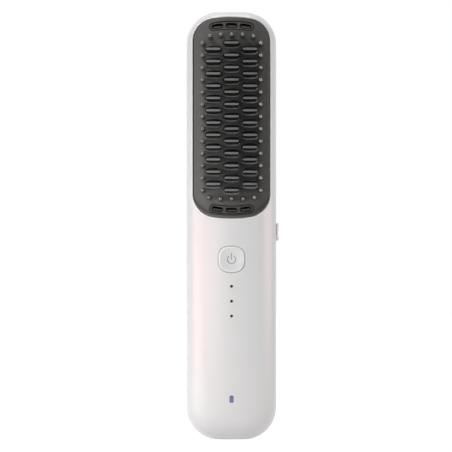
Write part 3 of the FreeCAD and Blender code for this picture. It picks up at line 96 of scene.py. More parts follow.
def enter(name: str, data: bpy.types.ID) -> bpy.types.Object:
    """Put a mesh, lamp or camera into the scene.

    Args:
        name: The object's name.
        data: The mesh, lamp or camera.

    Returns:
        The new object.
    """
    made = bpy.data.objects.new(name, data)
    bpy.context.scene.collection.objects.link(made)
    return made


class Bench:
    """Adds nodes to one tree and wires them."""

    def __init__(self, tree: bpy.types.NodeTree) -> None:
        """Start on a tree.

        Args:
            tree: The material, world or group tree to work on.
        """
        self.tree = tree

    def add(self, kind: str, **settings: object) -> Node:
        """Add a node.

        Args:
            kind: Blender's node type name, without its ShaderNode prefix.
            **settings: Properties of the node to set.

        Returns:
            The new node.
        """
        node = self.tree.nodes.new("ShaderNode" + kind)
        for name, setting in settings.items():
            setattr(node, name, setting)
        return node

    def feed(self, target: Socket, source: object) -> None:
        """Link a socket to another, or set its value.

        Args:
            target: The input socket.
            source: An output socket or a plain value.
        """
        if isinstance(source, bpy.types.NodeSocket):
            self.tree.links.new(source, target)
        else:
            target.default_value = source

    def math(self, operation: str, *terms: object, clamp: bool = False) -> Socket:
        """Combine numbers.

        Args:
            operation: Name of the Math node's operation.
            *terms: Output sockets or numbers.
            clamp: Whether the result is kept between zero and one.

        Returns:
            The result's socket.
        """
        node = self.add("Math", operation=operation, use_clamp=clamp)
        for slot, term in zip(node.inputs, terms):
            self.feed(slot, term)
        return node.outputs[0]

    def mix(self, share: object, first: object, second: object) -> Socket:
        """Mix two colours.

        Args:
            share: How much of the second colour shows.
            first: Colour at a share of zero.
            second: Colour at a share of one.

        Returns:
            The mixed colour's socket.
        """
        node = self.add("Mix", data_type="RGBA")
        self.feed(node.inputs["Factor"], share)
        self.feed(node.inputs[6], first)
        self.feed(node.inputs[7], second)
        return node.outputs[2]

    def ramp(self, source: Socket, low: object, high: object) -> Socket:
        """Turn a number into a smooth mask.

        Args:
            source: The number to read.
            low: Where the mask is zero.
            high: Where the mask is one.

        Returns:
            The mask's socket.
        """
        node = self.add("MapRange", interpolation_type="SMOOTHSTEP")
        self.feed(node.inputs["Value"], source)
        self.feed(node.inputs["From Min"], low)
        self.feed(node.inputs["From Max"], high)
        return node.outputs["Result"]

    def place(self, stretch: Place = UNSTRETCHED) -> Socket:
        """Read the point being shaded, in the piece's own coordinates.

        Args:
            stretch: Scale of a pattern along each axis.

        Returns:
            The place's socket.
        """
        point = self.add("TexCoord").outputs["Object"]
        if stretch == UNSTRETCHED:
            return point
        mapping = self.add("Mapping")
        self.feed(mapping.inputs["Vector"], point)
        mapping.inputs["Scale"].default_value = stretch
        return mapping.outputs["Vector"]

    def noise(self, scale: object, detail: float, stretch: Place = UNSTRETCHED) -> Socket:
        """Add a cloud pattern.

        Args:
            scale: Repeats in a metre.
            detail: How many finer layers it has.
            stretch: Scale of the pattern along each axis.

        Returns:
            The pattern's socket, from zero to one.
        """
        node = self.add("TexNoise")
        self.feed(node.inputs["Vector"], self.place(stretch))
        self.feed(node.inputs["Scale"], scale)
        node.inputs["Detail"].default_value = detail
        return node.outputs["Fac"]

    def axis(self, name: str) -> Socket:
        """Read one coordinate of the point being shaded.

        Args:
            name: The axis, X, Y or Z.

        Returns:
            The coordinate's socket, in metres.
        """
        split = self.add("SeparateXYZ")
        self.feed(split.inputs[0], self.place())
        return split.outputs[name]

    def facing(self, name: str) -> Socket:
        """Read which way the surface faces along one axis of the piece.

        Args:
            name: The axis, X, Y or Z.

        Returns:
            The socket of the normal's part along that axis.
        """
        split = self.add("SeparateXYZ")
        self.feed(split.inputs[0], self.add("TexCoord").outputs["Normal"])
        return split.outputs[name]

    def forward(self) -> Socket:
        """Return how far the point being shaded lies towards the front, in metres."""
        return self.math("MULTIPLY", self.axis("Y"), -1.0)

    def length(self, first: Socket, second: Socket) -> Socket:
        """Return the length of a vector with two parts."""
        squares = self.math("MULTIPLY_ADD", first, first, self.math("MULTIPLY", second, second))
        return self.math("SQRT", squares)

    def between(self, bottom: Socket, top: Socket, soft: Socket) -> Socket:
        """Mask what lies between two heights.

        Args:
            bottom: The lower height.
            top: The upper height.
            soft: Length over which the mask fades at each end.

        Returns:
            The mask's socket.
        """
        height = self.axis("Z")
        above = self.ramp(height, self.math("SUBTRACT", bottom, soft), bottom)
        below = self.ramp(height, self.math("ADD", top, soft), top)
        return self.math("MULTIPLY", above, below)

    def centred(self, pattern: Socket) -> Socket:
        """Return a pattern from zero to one as a swing about zero."""
        return self.math("SUBTRACT", pattern, 0.5)

    def varied(self, color: object, amount: object, pattern: Socket) -> Socket:
        """Lighten and darken a colour by a pattern.

        Args:
            color: The colour.
            amount: The whole swing of its value.
            pattern: Pattern from zero to one.

        Returns:
            The varied colour's socket.
        """
        swing = self.math("MULTIPLY_ADD", self.centred(pattern), amount, 1.0)
        tone = self.add("HueSaturation")
        self.feed(tone.inputs["Value"], swing)
        self.feed(tone.inputs["Color"], color)
        return tone.outputs["Color"]

    def swung(self, middle: object, amount: object, pattern: Socket) -> Socket:
        """Return a number that swings about its middle with a pattern."""
        return self.math("MULTIPLY_ADD", self.centred(pattern), amount, middle, clamp=True)


def clear_bench(owner: bpy.types.Material | bpy.types.World) -> Bench:
    """Return a bench on the emptied tree of a material or world."""
    owner.use_nodes = True
    owner.node_tree.nodes.clear()
    return Bench(owner.node_tree)


@dataclass(frozen=True)
class Effect:
    """A shader effect that several finishes share.

    Attributes:
        name: Name of the node group.
        takes: Input sockets, by name.
        gives: Output sockets, by name.
    """

    name: str
    takes: dict[str, Field]
    gives: dict[str, Field]

    def group(self) -> bpy.types.NodeTree:
        """Return the node group, which is built on first use."""
        found = bpy.data.node_groups.get(self.name)
        if found:
            return found
        tree = bpy.data.node_groups.new(self.name, "ShaderNodeTree")
        for name, kind in self.takes.items():
            tree.interface.new_socket(name=name, in_out="INPUT", socket_type=kind.value)
        for name, kind in self.gives.items():
            tree.interface.new_socket(name=name, in_out="OUTPUT", socket_type=kind.value)
        given = tree.nodes.new("NodeGroupInput").outputs
        result = tree.nodes.new("NodeGroupOutput").inputs
        bench = Bench(tree)
        for name, source in self.wire(bench, given).items():
            bench.feed(result[name], source)
        return tree

    def wire(self, bench: Bench, given: object) -> dict[str, Socket]:
        """Lay the effect's nodes.

        Args:
            bench: Bench on the group's tree.
            given: The group's own input sockets.

        Returns:
            The sockets that feed the outputs, by name.
        """
        raise NotImplementedError

    def use(self, bench: Bench, **values: object) -> Node:
        """Place the effect in a material.

        Args:
            bench: Bench on the material's tree.
            **values: Input values or sockets, by name.

        Returns:
            The group node.
        """
        node = bench.add("Group", node_tree=self.group())
        for name, source in values.items():
            bench.feed(node.inputs[name], source)
        return node


class MouldedSkin(Effect):
    """Fine moulded grain with a slow drift in tone and gloss."""

    GRAIN_DETAIL = 3.0
    HAZE_DETAIL = 2.0
    GRAIN_SHARE = 0.5

    def wire(self, bench: Bench, given: object) -> dict[str, Socket]:
        """Lay a fine grain and a wide haze, and vary tone and gloss by the haze."""
        grain = bench.noise(given["Grain"], self.GRAIN_DETAIL)
        haze = bench.noise(given["Haze"], self.HAZE_DETAIL)
        both = bench.math("MULTIPLY_ADD", bench.centred(grain), self.GRAIN_SHARE, haze)
        return {
            "Color": bench.varied(given["Color"], given["Tone"], both),
            "Roughness": bench.swung(given["Roughness"], given["Spread"], both),
            "Height": grain,
        }


class PearlFlake(Effect):
    """Tiny mica flakes of two tints in a clear white paint."""

    def wire(self, bench: Bench, given: object) -> dict[str, Socket]:
        """Lay flakes as cells, and let each flake lean to one of the tints."""
        cells = bench.add("TexVoronoi", feature="F1")
        bench.feed(cells.inputs["Vector"], bench.place())
        bench.feed(cells.inputs["Scale"], given["Flakes"])
        split = bench.add("SeparateColor")
        bench.feed(split.inputs[0], cells.outputs["Color"])
        lean = bench.math("MULTIPLY", split.outputs[0], given["Share"])
        return {"Color": bench.mix(lean, given["Color"], given["Tint"])}


class BevelHighlight(Effect):
    """A painted highlight: a paler band just inside the border of a square-round face, on its
    bevel.
    """

    FULL_SHARE = 0.45

    def wire(self, bench: Bench, given: object) -> dict[str, Socket]:
        """Measure the way in from the face's border, and mask a ring there."""
        straight = bench.math("SUBTRACT", given["Half"], given["Corner"])
        ways = []
        for axis, middle in (("X", 0.0), ("Z", given["Height"])):
            off = bench.math("ABSOLUTE", bench.math("SUBTRACT", bench.axis(axis), middle))
            ways.append(bench.math("MAXIMUM", bench.math("SUBTRACT", off, straight), 0.0))
        inside = bench.math("SUBTRACT", given["Corner"], bench.length(*ways))
        full = bench.math("MULTIPLY", given["Width"], self.FULL_SHARE)
        ring = bench.ramp(inside, given["Width"], full)
        return {"Color": bench.mix(ring, given["Color"], given["Bright"])}


class BrushedGrain(Effect):
    """Fine straight scratches of drawn, rolled or ground metal."""

    STREAK_DETAIL = 3.0
    CLOUD_DETAIL = 2.0
    DRAWN: Place = (1.0, 1.0, 0.04)

    def wire(self, bench: Bench, given: object) -> dict[str, Socket]:
        """Stretch a noise along the length of the brush, and vary tone and gloss by it."""
        streak = bench.noise(given["Streaks"], self.STREAK_DETAIL, self.DRAWN)
        cloud = bench.noise(given["Clouds"], self.CLOUD_DETAIL)
        return {
            "Color": bench.varied(given["Color"], given["Tone"], cloud),
            "Roughness": bench.swung(given["Roughness"], given["Spread"], streak),
            "Height": streak,
        }


class FrontLight(Effect):
    """Painted light on a dark moulding: a painted highlight on surfaces towards the front, and
    painted shade on what lies deeper.
    """

    FACES = (0.2, -0.1)
    CLOUDS = 900.0
    CLOUD_DETAIL = 2.0
    CLOUD_SWING = 0.5
    CLOUD_LEAST = 0.75

    def wire(self, bench: Bench, given: object) -> dict[str, Socket]:
        """Mask what lies above the low level and faces the front, broken up by a noise."""
        rise = bench.ramp(bench.forward(), given["Low"], given["High"])
        turns = [bench.math("SUBTRACT", face, given["Turn"]) for face in self.FACES]
        open_face = bench.math("MULTIPLY", rise, bench.ramp(bench.facing("Y"), *turns))
        cloud = bench.noise(self.CLOUDS, self.CLOUD_DETAIL)
        patchy = bench.math("MULTIPLY_ADD", cloud, self.CLOUD_SWING, self.CLOUD_LEAST)
        broken = bench.math("MULTIPLY", open_face, patchy, clamp=True)
        return {
            "Color": bench.mix(broken, given["Color"], given["Bright"]),
            "Mask": broken,
        }


class FinShade(Effect):
    """Painted shade: a darker field round the heated fins, soft at its border."""

    def wire(self, bench: Bench, given: object) -> dict[str, Socket]:
        """Mask a field about the middle of the width and between two heights."""
        across = bench.math("ABSOLUTE", bench.axis("X"))
        border = bench.math("ADD", given["Reach"], given["Soft"])
        sides = bench.ramp(across, border, given["Reach"])
        ends = bench.between(given["Bottom"], given["Top"], given["Soft"])
        mask = bench.math("MULTIPLY", sides, ends)
        return {"Color": bench.mix(mask, given["Color"], given["Stain"])}


class SideLight(Effect):
    """Painted light: a colour that turns paler across the width, towards the lit side."""

    def wire(self, bench: Bench, given: object) -> dict[str, Socket]:
        """Mix in the paler colour between two places across the width."""
        share = bench.ramp(bench.axis("X"), given["From"], given["To"])
        return {"Color": bench.mix(share, given["Color"], given["Pale"])}


class FootHighlight(Effect):
    """A painted highlight: a paler lip under the foot of a tooth."""

    UNDER = (-0.15, -0.45)

    def wire(self, bench: Bench, given: object) -> dict[str, Socket]:
        """Keep a mask to what lies near the foot and faces down."""
        near = bench.ramp(bench.forward(), given["High"], given["Low"])
        under = bench.ramp(bench.facing("Z"), *self.UNDER)
        lip = bench.math("MULTIPLY", near, under)
        return {"Color": bench.mix(lip, given["Color"], given["Bright"])}


class PinkReflection(Effect):
    """A painted pink reflection on the rolled side, between two heights."""

    ROLLED = (-0.10, -0.32)
    OUTER = (-0.98, -0.75)

    def wire(self, bench: Bench, given: object) -> dict[str, Socket]:
        """Mask what turns to the side, but not the outer rim, and fade it at both ends."""
        turn = bench.facing("X")
        limits = (self.ROLLED, self.OUTER)
        rolled = bench.math("MULTIPLY", *(bench.ramp(turn, *limit) for limit in limits))
        ends = bench.between(given["Bottom"], given["Top"], given["Soft"])
        mask = bench.math("MULTIPLY", rolled, ends)
        return {"Color": bench.mix(mask, given["Color"], given["Tint"])}


class OpeningHighlight(Effect):
    """A painted highlight: a paler edge along one end of a long opening with bowed ends."""

    NEAR_SHARE = -0.5

    def wire(self, bench: Bench, given: object) -> dict[str, Socket]:
        """Measure the way out from the opening's edge, and mask a ring there.

        The opening is a core grown by its corners' radius. The core's corner lies at
        Across and Level, and its end is an arc of the radius Bow about the middle line.
        """
        across = bench.math("ABSOLUTE", bench.axis("X"))
        side = bench.math("SUBTRACT", across, given["Across"])
        above = bench.math("SUBTRACT", bench.axis("Z"), given["Level"])
        up = bench.math("MULTIPLY", above, given["End"])
        squares = [bench.math("POWER", given[name], 2.0) for name in ("Bow", "Across")]
        rise = bench.math("SQRT", bench.math("SUBTRACT", *squares))
        reach = bench.length(across, bench.math("ADD", up, rise))
        end = bench.math("SUBTRACT", reach, given["Bow"])
        lean = bench.math("SUBTRACT", bench.math("MULTIPLY", rise, side),
                          bench.math("MULTIPLY", given["Across"], up))
        past = [bench.math("GREATER_THAN", part, 0.0) for part in (up, lean)]
        corner = bench.math("MULTIPLY", bench.length(side, up), bench.math("MULTIPLY", *past))
        core = bench.math("MAXIMUM", bench.math("MAXIMUM", side, end), corner)
        out = bench.math("SUBTRACT", core, given["Corner"])
        border = bench.math("MULTIPLY", given["Span"], self.NEAR_SHARE)
        near = bench.math("GREATER_THAN", up, border)
        ring = bench.math("MULTIPLY", bench.ramp(out, given["Width"], 0.0), near)
        return {"Color": bench.mix(ring, given["Color"], given["Bright"])}


SKIN = MouldedSkin("moulded_skin", fields("Color", "Tone Roughness Spread Grain Haze"),
                   fields("Color", "Roughness Height"))
PEARL = PearlFlake("pearl_flake", fields("Color Tint", "Flakes Share"), fields("Color"))
BEVEL_HIGHLIGHT = BevelHighlight("painted_bevel_highlight", fields("Color Bright", "Half Corner Height Width"), fields("Color"))
PINK_REFLECTION = PinkReflection("painted_pink_reflection", fields("Color Tint", "Bottom Top Soft"), fields("Color"))
OPENING_HIGHLIGHT = OpeningHighlight("painted_opening_highlight", fields("Color Bright", "Across Level End Bow Corner Span Width"),
                 fields("Color"))
BRUSHED = BrushedGrain("brushed_grain", fields("Color", "Tone Roughness Spread Streaks Clouds"),
                       fields("Color", "Roughness Height"))
FRONT_LIGHT = FrontLight("painted_front_light", fields("Color Bright", "Low High Turn"), fields("Color", "Mask"))
FIN_SHADE = FinShade("painted_fin_shade", fields("Color Stain", "Reach Bottom Top Soft"), fields("Color"))
SIDE_LIGHT = SideLight("painted_side_light", fields("Color Pale", "From To"), fields("Color"))
FOOT_HIGHLIGHT = FootHighlight("painted_foot_highlight", fields("Color Bright", "Low High"), fields("Color"))


@dataclass(frozen=True)
class Finish:
    """A plain moulded finish, and the base of the others.

    Attributes:
        name: The material's name.
        color: Base colour, linear.
        roughness: Middle roughness.
        tone: Swing of the colour's value.
        spread: Swing of the roughness.
        grain: Grains in a metre.
        depth: Depth of the grain in metres.
        haze: Repeats of the slow drift in a metre.
        settings: Constant sockets of the shader.
    """

    name: str
    color: Color
    roughness: float = 0.45
    tone: float = 0.12
    spread: float = 0.12
    grain: float = 5000.0
    depth: float = 10 * UM
    haze: float = 60.0
    settings: dict[str, object] = field(default_factory=dict)

    def material(self) -> bpy.types.Material:
        """Return the finish's material, which is built on first use."""
        found = bpy.data.materials.get(self.name)
        if found:
            return found
        made = bpy.data.materials.new(self.name)
        bench = clear_bench(made)
        shader = bench.add("BsdfPrincipled")
        end = bench.add("OutputMaterial")
        bench.feed(end.inputs["Surface"], shader.outputs["BSDF"])
        for name, setting in self.settings.items():
            shader.inputs[name].default_value = setting
        self.wire(bench, shader)
        made.diffuse_color = opaque(self.color)
        return made

    def wire(self, bench: Bench, shader: Node) -> None:
        """Feed the shader from the moulded skin.

        Args:
            bench: Bench on the material's tree.
            shader: The material's shader.
        """
        self.cover(bench, shader, self.skin(bench, self.base(bench)))

    def base(self, bench: Bench) -> object:
        """Return the colour under the finish's other layers."""
        return opaque(self.color)

    def cover(self, bench: Bench, shader: Node, skin: Node, height: Socket | None = None) -> None:
        """Feed the shader's colour, gloss and bump.

        Args:
            bench: Bench on the material's tree.
            shader: The material's shader.
            skin: Group node with the colour, the roughness and a height.
            height: Height that is used in place of the skin's.
        """
        bench.feed(shader.inputs["Base Color"], skin.outputs["Color"])
        bench.feed(shader.inputs["Roughness"], skin.outputs["Roughness"])
        self.bump(bench, shader, skin.outputs["Height"] if height is None else height)

    def skin(self, bench: Bench, color: object) -> Node:
        """Return a moulded skin with this finish's values over a colour."""
        return SKIN.use(bench, Color=color, Tone=self.tone, Roughness=self.roughness,
                        Spread=self.spread, Grain=self.grain, Haze=self.haze)

    def bump(self, bench: Bench, shader: Node, height: Socket) -> None:
        """Raise the surface by a height.

        Args:
            bench: Bench on the material's tree.
            shader: The material's shader.
            height: Height pattern from zero to one.
        """
        bump = bench.add("Bump")
        bump.inputs["Strength"].default_value = 1.0
        bump.inputs["Distance"].default_value = self.depth
        bench.feed(bump.inputs["Height"], height)
        bench.feed(shader.inputs["Normal"], bump.outputs["Normal"])

    def paint(self, piece: bpy.types.Object) -> None:
        """Give a piece this finish in each of its material slots."""
        made = self.material()
        if piece.material_slots:
            for place in piece.material_slots:
                place.material = made
        else:
            piece.data.materials.append(made)


@dataclass(frozen=True)
class PearlFinish(Finish):
    """White pearl paint: flakes of a second tint under a clear coat.

    Attributes:
        tint: Colour of the flakes.
        flakes: Flakes in a metre.
        share: How far a flake leans to the tint.
    """

    tint: Color = (0.9, 0.8, 0.82)
    flakes: float = 9000.0
    share: float = 0.5

    def wire(self, bench: Bench, shader: Node) -> None:
        """Feed the shader from flakes under the moulded skin."""
        pearl = PEARL.use(bench, Color=self.base(bench), Tint=opaque(self.tint),
                          Flakes=self.flakes, Share=self.share)
        self.cover(bench, shader, self.skin(bench, pearl.outputs["Color"]))


@dataclass(frozen=True)
class ShellFinish(PearlFinish):
    """The front shell's paint, with a painted pink reflection on its rolled side and a painted
    highlight on the rim round the comb head.

    Attributes:
        pink_reflection: Colour of the painted pink reflection.
        bottom: Height where the painted reflection begins, in metres.
        top: Height where it ends.
        soft: Length over which it fades.
        rim: Colour of the painted highlight on the rim.
        width: Width of the painted highlight.
        gap: Gap between the head and the opening.
        bow: Radius of the head's bowed ends.
        corners: Radii of its lower and upper corners.
    """

    pink_reflection: Color = (0.8, 0.75, 0.75)
    bottom: float = 0.045
    top: float = 0.095
    soft: float = 0.025
    rim: Color = (0.95, 0.95, 0.95)
    width: float = 1.0 * MM
    gap: float = 0.2 * MM
    bow: float = 58.0 * MM
    corners: tuple[float, float] = (10.9 * MM, 10.0 * MM)

    def base(self, bench: Bench) -> object:
        """Return the paint's colour with the painted pink reflection and the painted highlight at
        both ends of the rim on it.
        """
        pink_reflection = PINK_REFLECTION.use(bench, Color=opaque(self.color), Tint=opaque(self.pink_reflection),
                          Bottom=self.bottom, Top=self.top, Soft=self.soft)
        color = pink_reflection.outputs["Color"]
        low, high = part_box("comb_frame")
        for corner, edge, end in zip(self.corners, (low.z, high.z), (-1.0, 1.0)):
            across = high.x - corner
            bow = self.bow - corner
            level = edge - end * (self.bow - math.sqrt(bow**2 - across**2))
            rim = OPENING_HIGHLIGHT.use(bench, Color=color, Bright=opaque(self.rim), Across=across, Level=level,
                          End=end, Bow=bow, Corner=corner + self.gap, Span=high.z - low.z,
                          Width=self.width)
            color = rim.outputs["Color"]
        return color


@dataclass(frozen=True)
class ButtonFinish(PearlFinish):
    """The thumb button's paint, with a painted highlight on the bevel round its face.

    Attributes:
        bevel: Colour of the painted highlight on the bevel.
        half: Half of the face's width, in metres.
        corner: Radius of its corners.
        height: Height of its middle.
        width: Width of the painted highlight.
    """

    bevel: Color = (0.9, 0.9, 0.9)
    half: float = 6.0 * MM
    corner: float = 4.75 * MM
    height: float = 0.0
    width: float = 0.001

    def base(self, bench: Bench) -> object:
        """Return the paint's colour with the painted bevel highlight on it."""
        ring = BEVEL_HIGHLIGHT.use(bench, Color=opaque(self.color), Bright=opaque(self.bevel), Half=self.half,
                         Corner=self.corner, Height=self.height, Width=self.width)
        return ring.outputs["Color"]


@dataclass(frozen=True)
class FrontLitFinish(Finish):
    """A dark moulding that is painted lighter towards the front, as a painted highlight, and darker
    deeper down, as painted shade; its front is also smoother.

    Attributes:
        bright: Colour of the front, painted as lit.
        low: Level where the painted light begins, in metres towards the front.
        high: Level where it is full.
        turn: How squarely a surface has to face the front to be painted as lit, from -1 to 1.
        smoothing: How much smoother the front is.
        pale: How much paler the front is painted on one side, as painted light.
        side: Where across the width it begins to pale, and where it is palest.
    """

    bright: Color = (0.12, 0.12, 0.12)
    low: float = 0.016
    high: float = 0.0204
    turn: float = 0.7
    smoothing: float = 0.15
    pale: float = 1.0
    side: tuple[float, float] = (8.0 * MM, -14.0 * MM)

    def side_lit(self, bench: Bench, color: Color, pale: float) -> Socket:
        """Return a colour that is painted paler towards one side, as painted light."""
        paler = tuple(part * pale for part in color)
        begin, end = self.side
        fade = SIDE_LIGHT.use(bench, Color=opaque(color), Pale=opaque(paler), From=begin, To=end)
        return fade.outputs["Color"]

    def front(self, bench: Bench) -> object:
        """Return the colour of the front, painted as lit."""
        return self.side_lit(bench, self.bright, self.pale)

    def wire(self, bench: Bench, shader: Node) -> None:
        """Feed the shader from the moulded skin and the painted light of the front."""
        lit = FRONT_LIGHT.use(bench, Color=self.base(bench), Bright=self.front(bench), Low=self.low,
                      High=self.high, Turn=self.turn)
        skin = self.skin(bench, lit.outputs["Color"])
        self.cover(bench, shader, skin)
        smooth = bench.math("MULTIPLY", lit.outputs["Mask"], self.smoothing)
        gloss = bench.math("SUBTRACT", skin.outputs["Roughness"], smooth)
        bench.feed(shader.inputs["Roughness"], gloss)


@dataclass(frozen=True)
class BedFinish(FrontLitFinish):
    """The comb's bed, with painted shade round the fins.

    Attributes:
        stain: Colour among the fins, a painted shade.
        reach: Half of the shaded width, in metres.
        bottom: Height where the painted shade begins.
        top: Height where it ends.
        soft: Width of its border.
        fin_shade_pale: How much paler the painted shade is on one side, as painted light.
    """

    stain: Color = (0.03, 0.03, 0.03)
    reach: float = 0.0112
    bottom: float = 0.1
    top: float = 0.2
    soft: float = 0.003
    fin_shade_pale: float = 1.0

    def front(self, bench: Bench) -> object:
        """Return the bed's colour with the painted shade on it."""
        stain = FIN_SHADE.use(bench, Color=self.side_lit(bench, self.bright, self.pale),
                          Stain=self.side_lit(bench, self.stain, self.fin_shade_pale), Reach=self.reach,
                          Bottom=self.bottom, Top=self.top, Soft=self.soft)
        return stain.outputs["Color"]


@dataclass(frozen=True)
class FinFinish(FrontLitFinish):
    """The coat of a heated fin, with a painted highlight on the lip under its foot.

    Attributes:
        lip: Colour of the painted highlight on the lip.
        foot: Level below which the painted highlight is full, in metres towards the front.
        neck: Level where it ends.
    """

    lip: Color = (0.12, 0.12, 0.12)
    foot: float = 0.0154
    neck: float = 0.0158

    def base(self, bench: Bench) -> object:
        """Return the coat's colour with the painted lip highlight on it."""
        lip = FOOT_HIGHLIGHT.use(bench, Color=opaque(self.color), Bright=opaque(self.lip), Low=self.foot,
                      High=self.neck)
        return lip.outputs["Color"]


@dataclass(frozen=True)
class MetalFinish(Finish):
    """A bare or plated metal with fine drawn streaks."""

    def wire(self, bench: Bench, shader: Node) -> None:
        """Feed the shader from the brushed grain."""
        grain = BRUSHED.use(bench, Color=opaque(self.color), Tone=self.tone,
                            Roughness=self.roughness, Spread=self.spread, Streaks=self.grain,
                            Clouds=self.haze)
        shader.inputs["Metallic"].default_value = 1.0
        self.cover(bench, shader, grain)


@dataclass(frozen=True)
class WindowFinish(Finish):
    """A tinted window that darkens from its lower edge to its top.

    Attributes:
        top: Colour at the top.
        low: Height where the darkening begins, in metres.
        high: Height where it is full.
    """

    top: Color = (0.05, 0.05, 0.06)
    low: float = 0.0
    high: float = 1.0

    def wire(self, bench: Bench, shader: Node) -> None:
        """Feed the shader from a drift along the height under the moulded skin."""
        rise = bench.ramp(bench.axis("Z"), self.low, self.high)
        color = bench.mix(rise, opaque(self.color), opaque(self.top))
        self.cover(bench, shader, self.skin(bench, color))


@dataclass(frozen=True)
class BoardFinish(Finish):
    """Solder-masked circuit board with copper tracks under the mask.

    Attributes:
        track: Colour of the mask over copper.
        pitch: Tracks in a metre.
        line: Width of a track, as a share of the pattern.
        stagger: How far each row is shifted, as a share of its length.
        stretch: Scale of the pattern along each axis.
    """

    track: Color = (0.05, 0.32, 0.16)
    pitch: float = 500.0
    line: float = 0.08
    stagger: float = 0.37
    stretch: Place = (1.0, 1.0, 0.15)

    def wire(self, bench: Bench, shader: Node) -> None:
        """Feed the shader from stepped tracks under the moulded skin."""
        tracks = bench.add("TexBrick", offset=self.stagger, squash=1.0)
        values = {
            "Vector": bench.place(self.stretch), "Color1": opaque(self.color),
            "Color2": opaque(self.color), "Mortar": opaque(self.track), "Scale": self.pitch,
            "Mortar Size": self.line,
        }
        for name, source in values.items():
            bench.feed(tracks.inputs[name], source)
        skin = self.skin(bench, tracks.outputs["Color"])
        self.cover(bench, shader, skin, tracks.outputs["Fac"])


@dataclass(frozen=True)
class WoundFinish(Finish):
    """Wire wound round an upright core.

    Attributes:
        turns: Turns of wire in a metre.
        groove: Colour between the turns.
    """

    turns: float = 2600.0
    groove: Color = (0.1, 0.03, 0.01)

    def wire(self, bench: Bench, shader: Node) -> None:
        """Feed the shader from bands round the core."""
        bands = bench.add("TexWave", wave_type="BANDS", bands_direction="Y")
        bench.feed(bands.inputs["Vector"], bench.place())
        bands.inputs["Scale"].default_value = self.turns / math.tau
        color = bench.mix(bands.outputs["Fac"], opaque(self.groove), opaque(self.color))
        shader.inputs["Metallic"].default_value = 1.0
        self.cover(bench, shader, self.skin(bench, color), bands.outputs["Fac"])


CLEAR_COAT = {"Coat Weight": 0.35, "Coat Roughness": 0.18, "Coat IOR": 1.5}

PEARL_PAINT = {
    "color": (0.782, 0.80, 0.797), "roughness": 0.36, "tone": 0.02, "spread": 0.05, "grain": 7000.0,
    "depth": 3 * UM, "haze": 35.0, "tint": (0.80, 0.79, 0.79), "share": 0.35,
    "settings": {"Specular IOR Level": 1.0, "Specular Tint": (1.0, 0.62, 0.64, 1.0),
                 "Coat Weight": 0.5, "Coat Roughness": 0.36},
}
WHITE_PEARL = PearlFinish("white_pearl", **PEARL_PAINT)
# Painted light on the front shell: a painted pink reflection on its rolled left side and a painted
# highlight round the comb head's opening.
FRONT_PEARL = ShellFinish(
    "front_pearl", **PEARL_PAINT, pink_reflection=(0.800, 0.745, 0.75), rim=(0.97, 0.97, 0.97),
)
BUTTON_LOW, BUTTON_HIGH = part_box("power_button")
BUTTON_FLANGE = 1.05 * MM
# The button's pale bevel colour is a painted highlight round its face.
BUTTON_WHITE = ButtonFinish(
    "button_white", (0.79, 0.79, 0.785), roughness=0.38, tone=0.02, spread=0.05, grain=7000.0,
    depth=3 * UM, haze=80.0, tint=(0.80, 0.79, 0.785), share=0.3, settings=CLEAR_COAT,
    bevel=(0.98, 0.98, 0.975), half=(BUTTON_HIGH.x - BUTTON_LOW.x) / 2 - BUTTON_FLANGE,
    height=(BUTTON_LOW.z + BUTTON_HIGH.z) / 2,
)
FINS_LOW, FINS_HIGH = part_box("heating_fins")
FIN_SHADE_INSET = 3 * MM
# Painted light on the comb bed: its recesses and the field among the fins are painted darker as
# shade, and the bed pales towards the left as painted light.
COMB_DARK = BedFinish(
    "comb_bed_plastic", (0.024, 0.024, 0.023), roughness=0.46, tone=0.16, spread=0.10, grain=4200.0,
    depth=8 * UM, haze=50.0, bright=(0.108, 0.105, 0.101), low=0.0127, high=0.0131, smoothing=0.0,
    stain=(0.042, 0.041, 0.040), bottom=FINS_LOW.z + FIN_SHADE_INSET,
    top=FINS_HIGH.z - FIN_SHADE_INSET,
    pale=1.5, fin_shade_pale=3.3,
    settings={"Specular IOR Level": 0.15},
)
# Painted light on the fin coat: its pale tips and lip are painted highlights, paler towards the
# left.
FIN_COAT = FinFinish(
    "fin_ceramic_coat", (0.013, 0.013, 0.0128), roughness=0.38, tone=0.2, spread=0.1, grain=3500.0,
    depth=6 * UM, haze=90.0, bright=(0.168, 0.167, 0.163), low=0.0192, high=0.0208, turn=0.78,
    lip=(0.40, 0.40, 0.39), pale=1.4, settings={"Specular IOR Level": 0.3},
)
# Painted light on the guard pins: their tips are painted highlights, paler towards the right.
PIN_NYLON = FrontLitFinish(
    "guard_pin_nylon", (0.012, 0.012, 0.0117), roughness=0.17, tone=0.15, spread=0.06, grain=4000.0,
    depth=3 * UM, haze=90.0, bright=(0.06, 0.06, 0.058), low=0.0200, high=0.0207, turn=0.6,
    pale=2.8, side=(4.0 * MM, 14.0 * MM),
    settings={"Specular IOR Level": 1.0, "Coat Weight": 0.8, "Coat Roughness": 0.06},
)
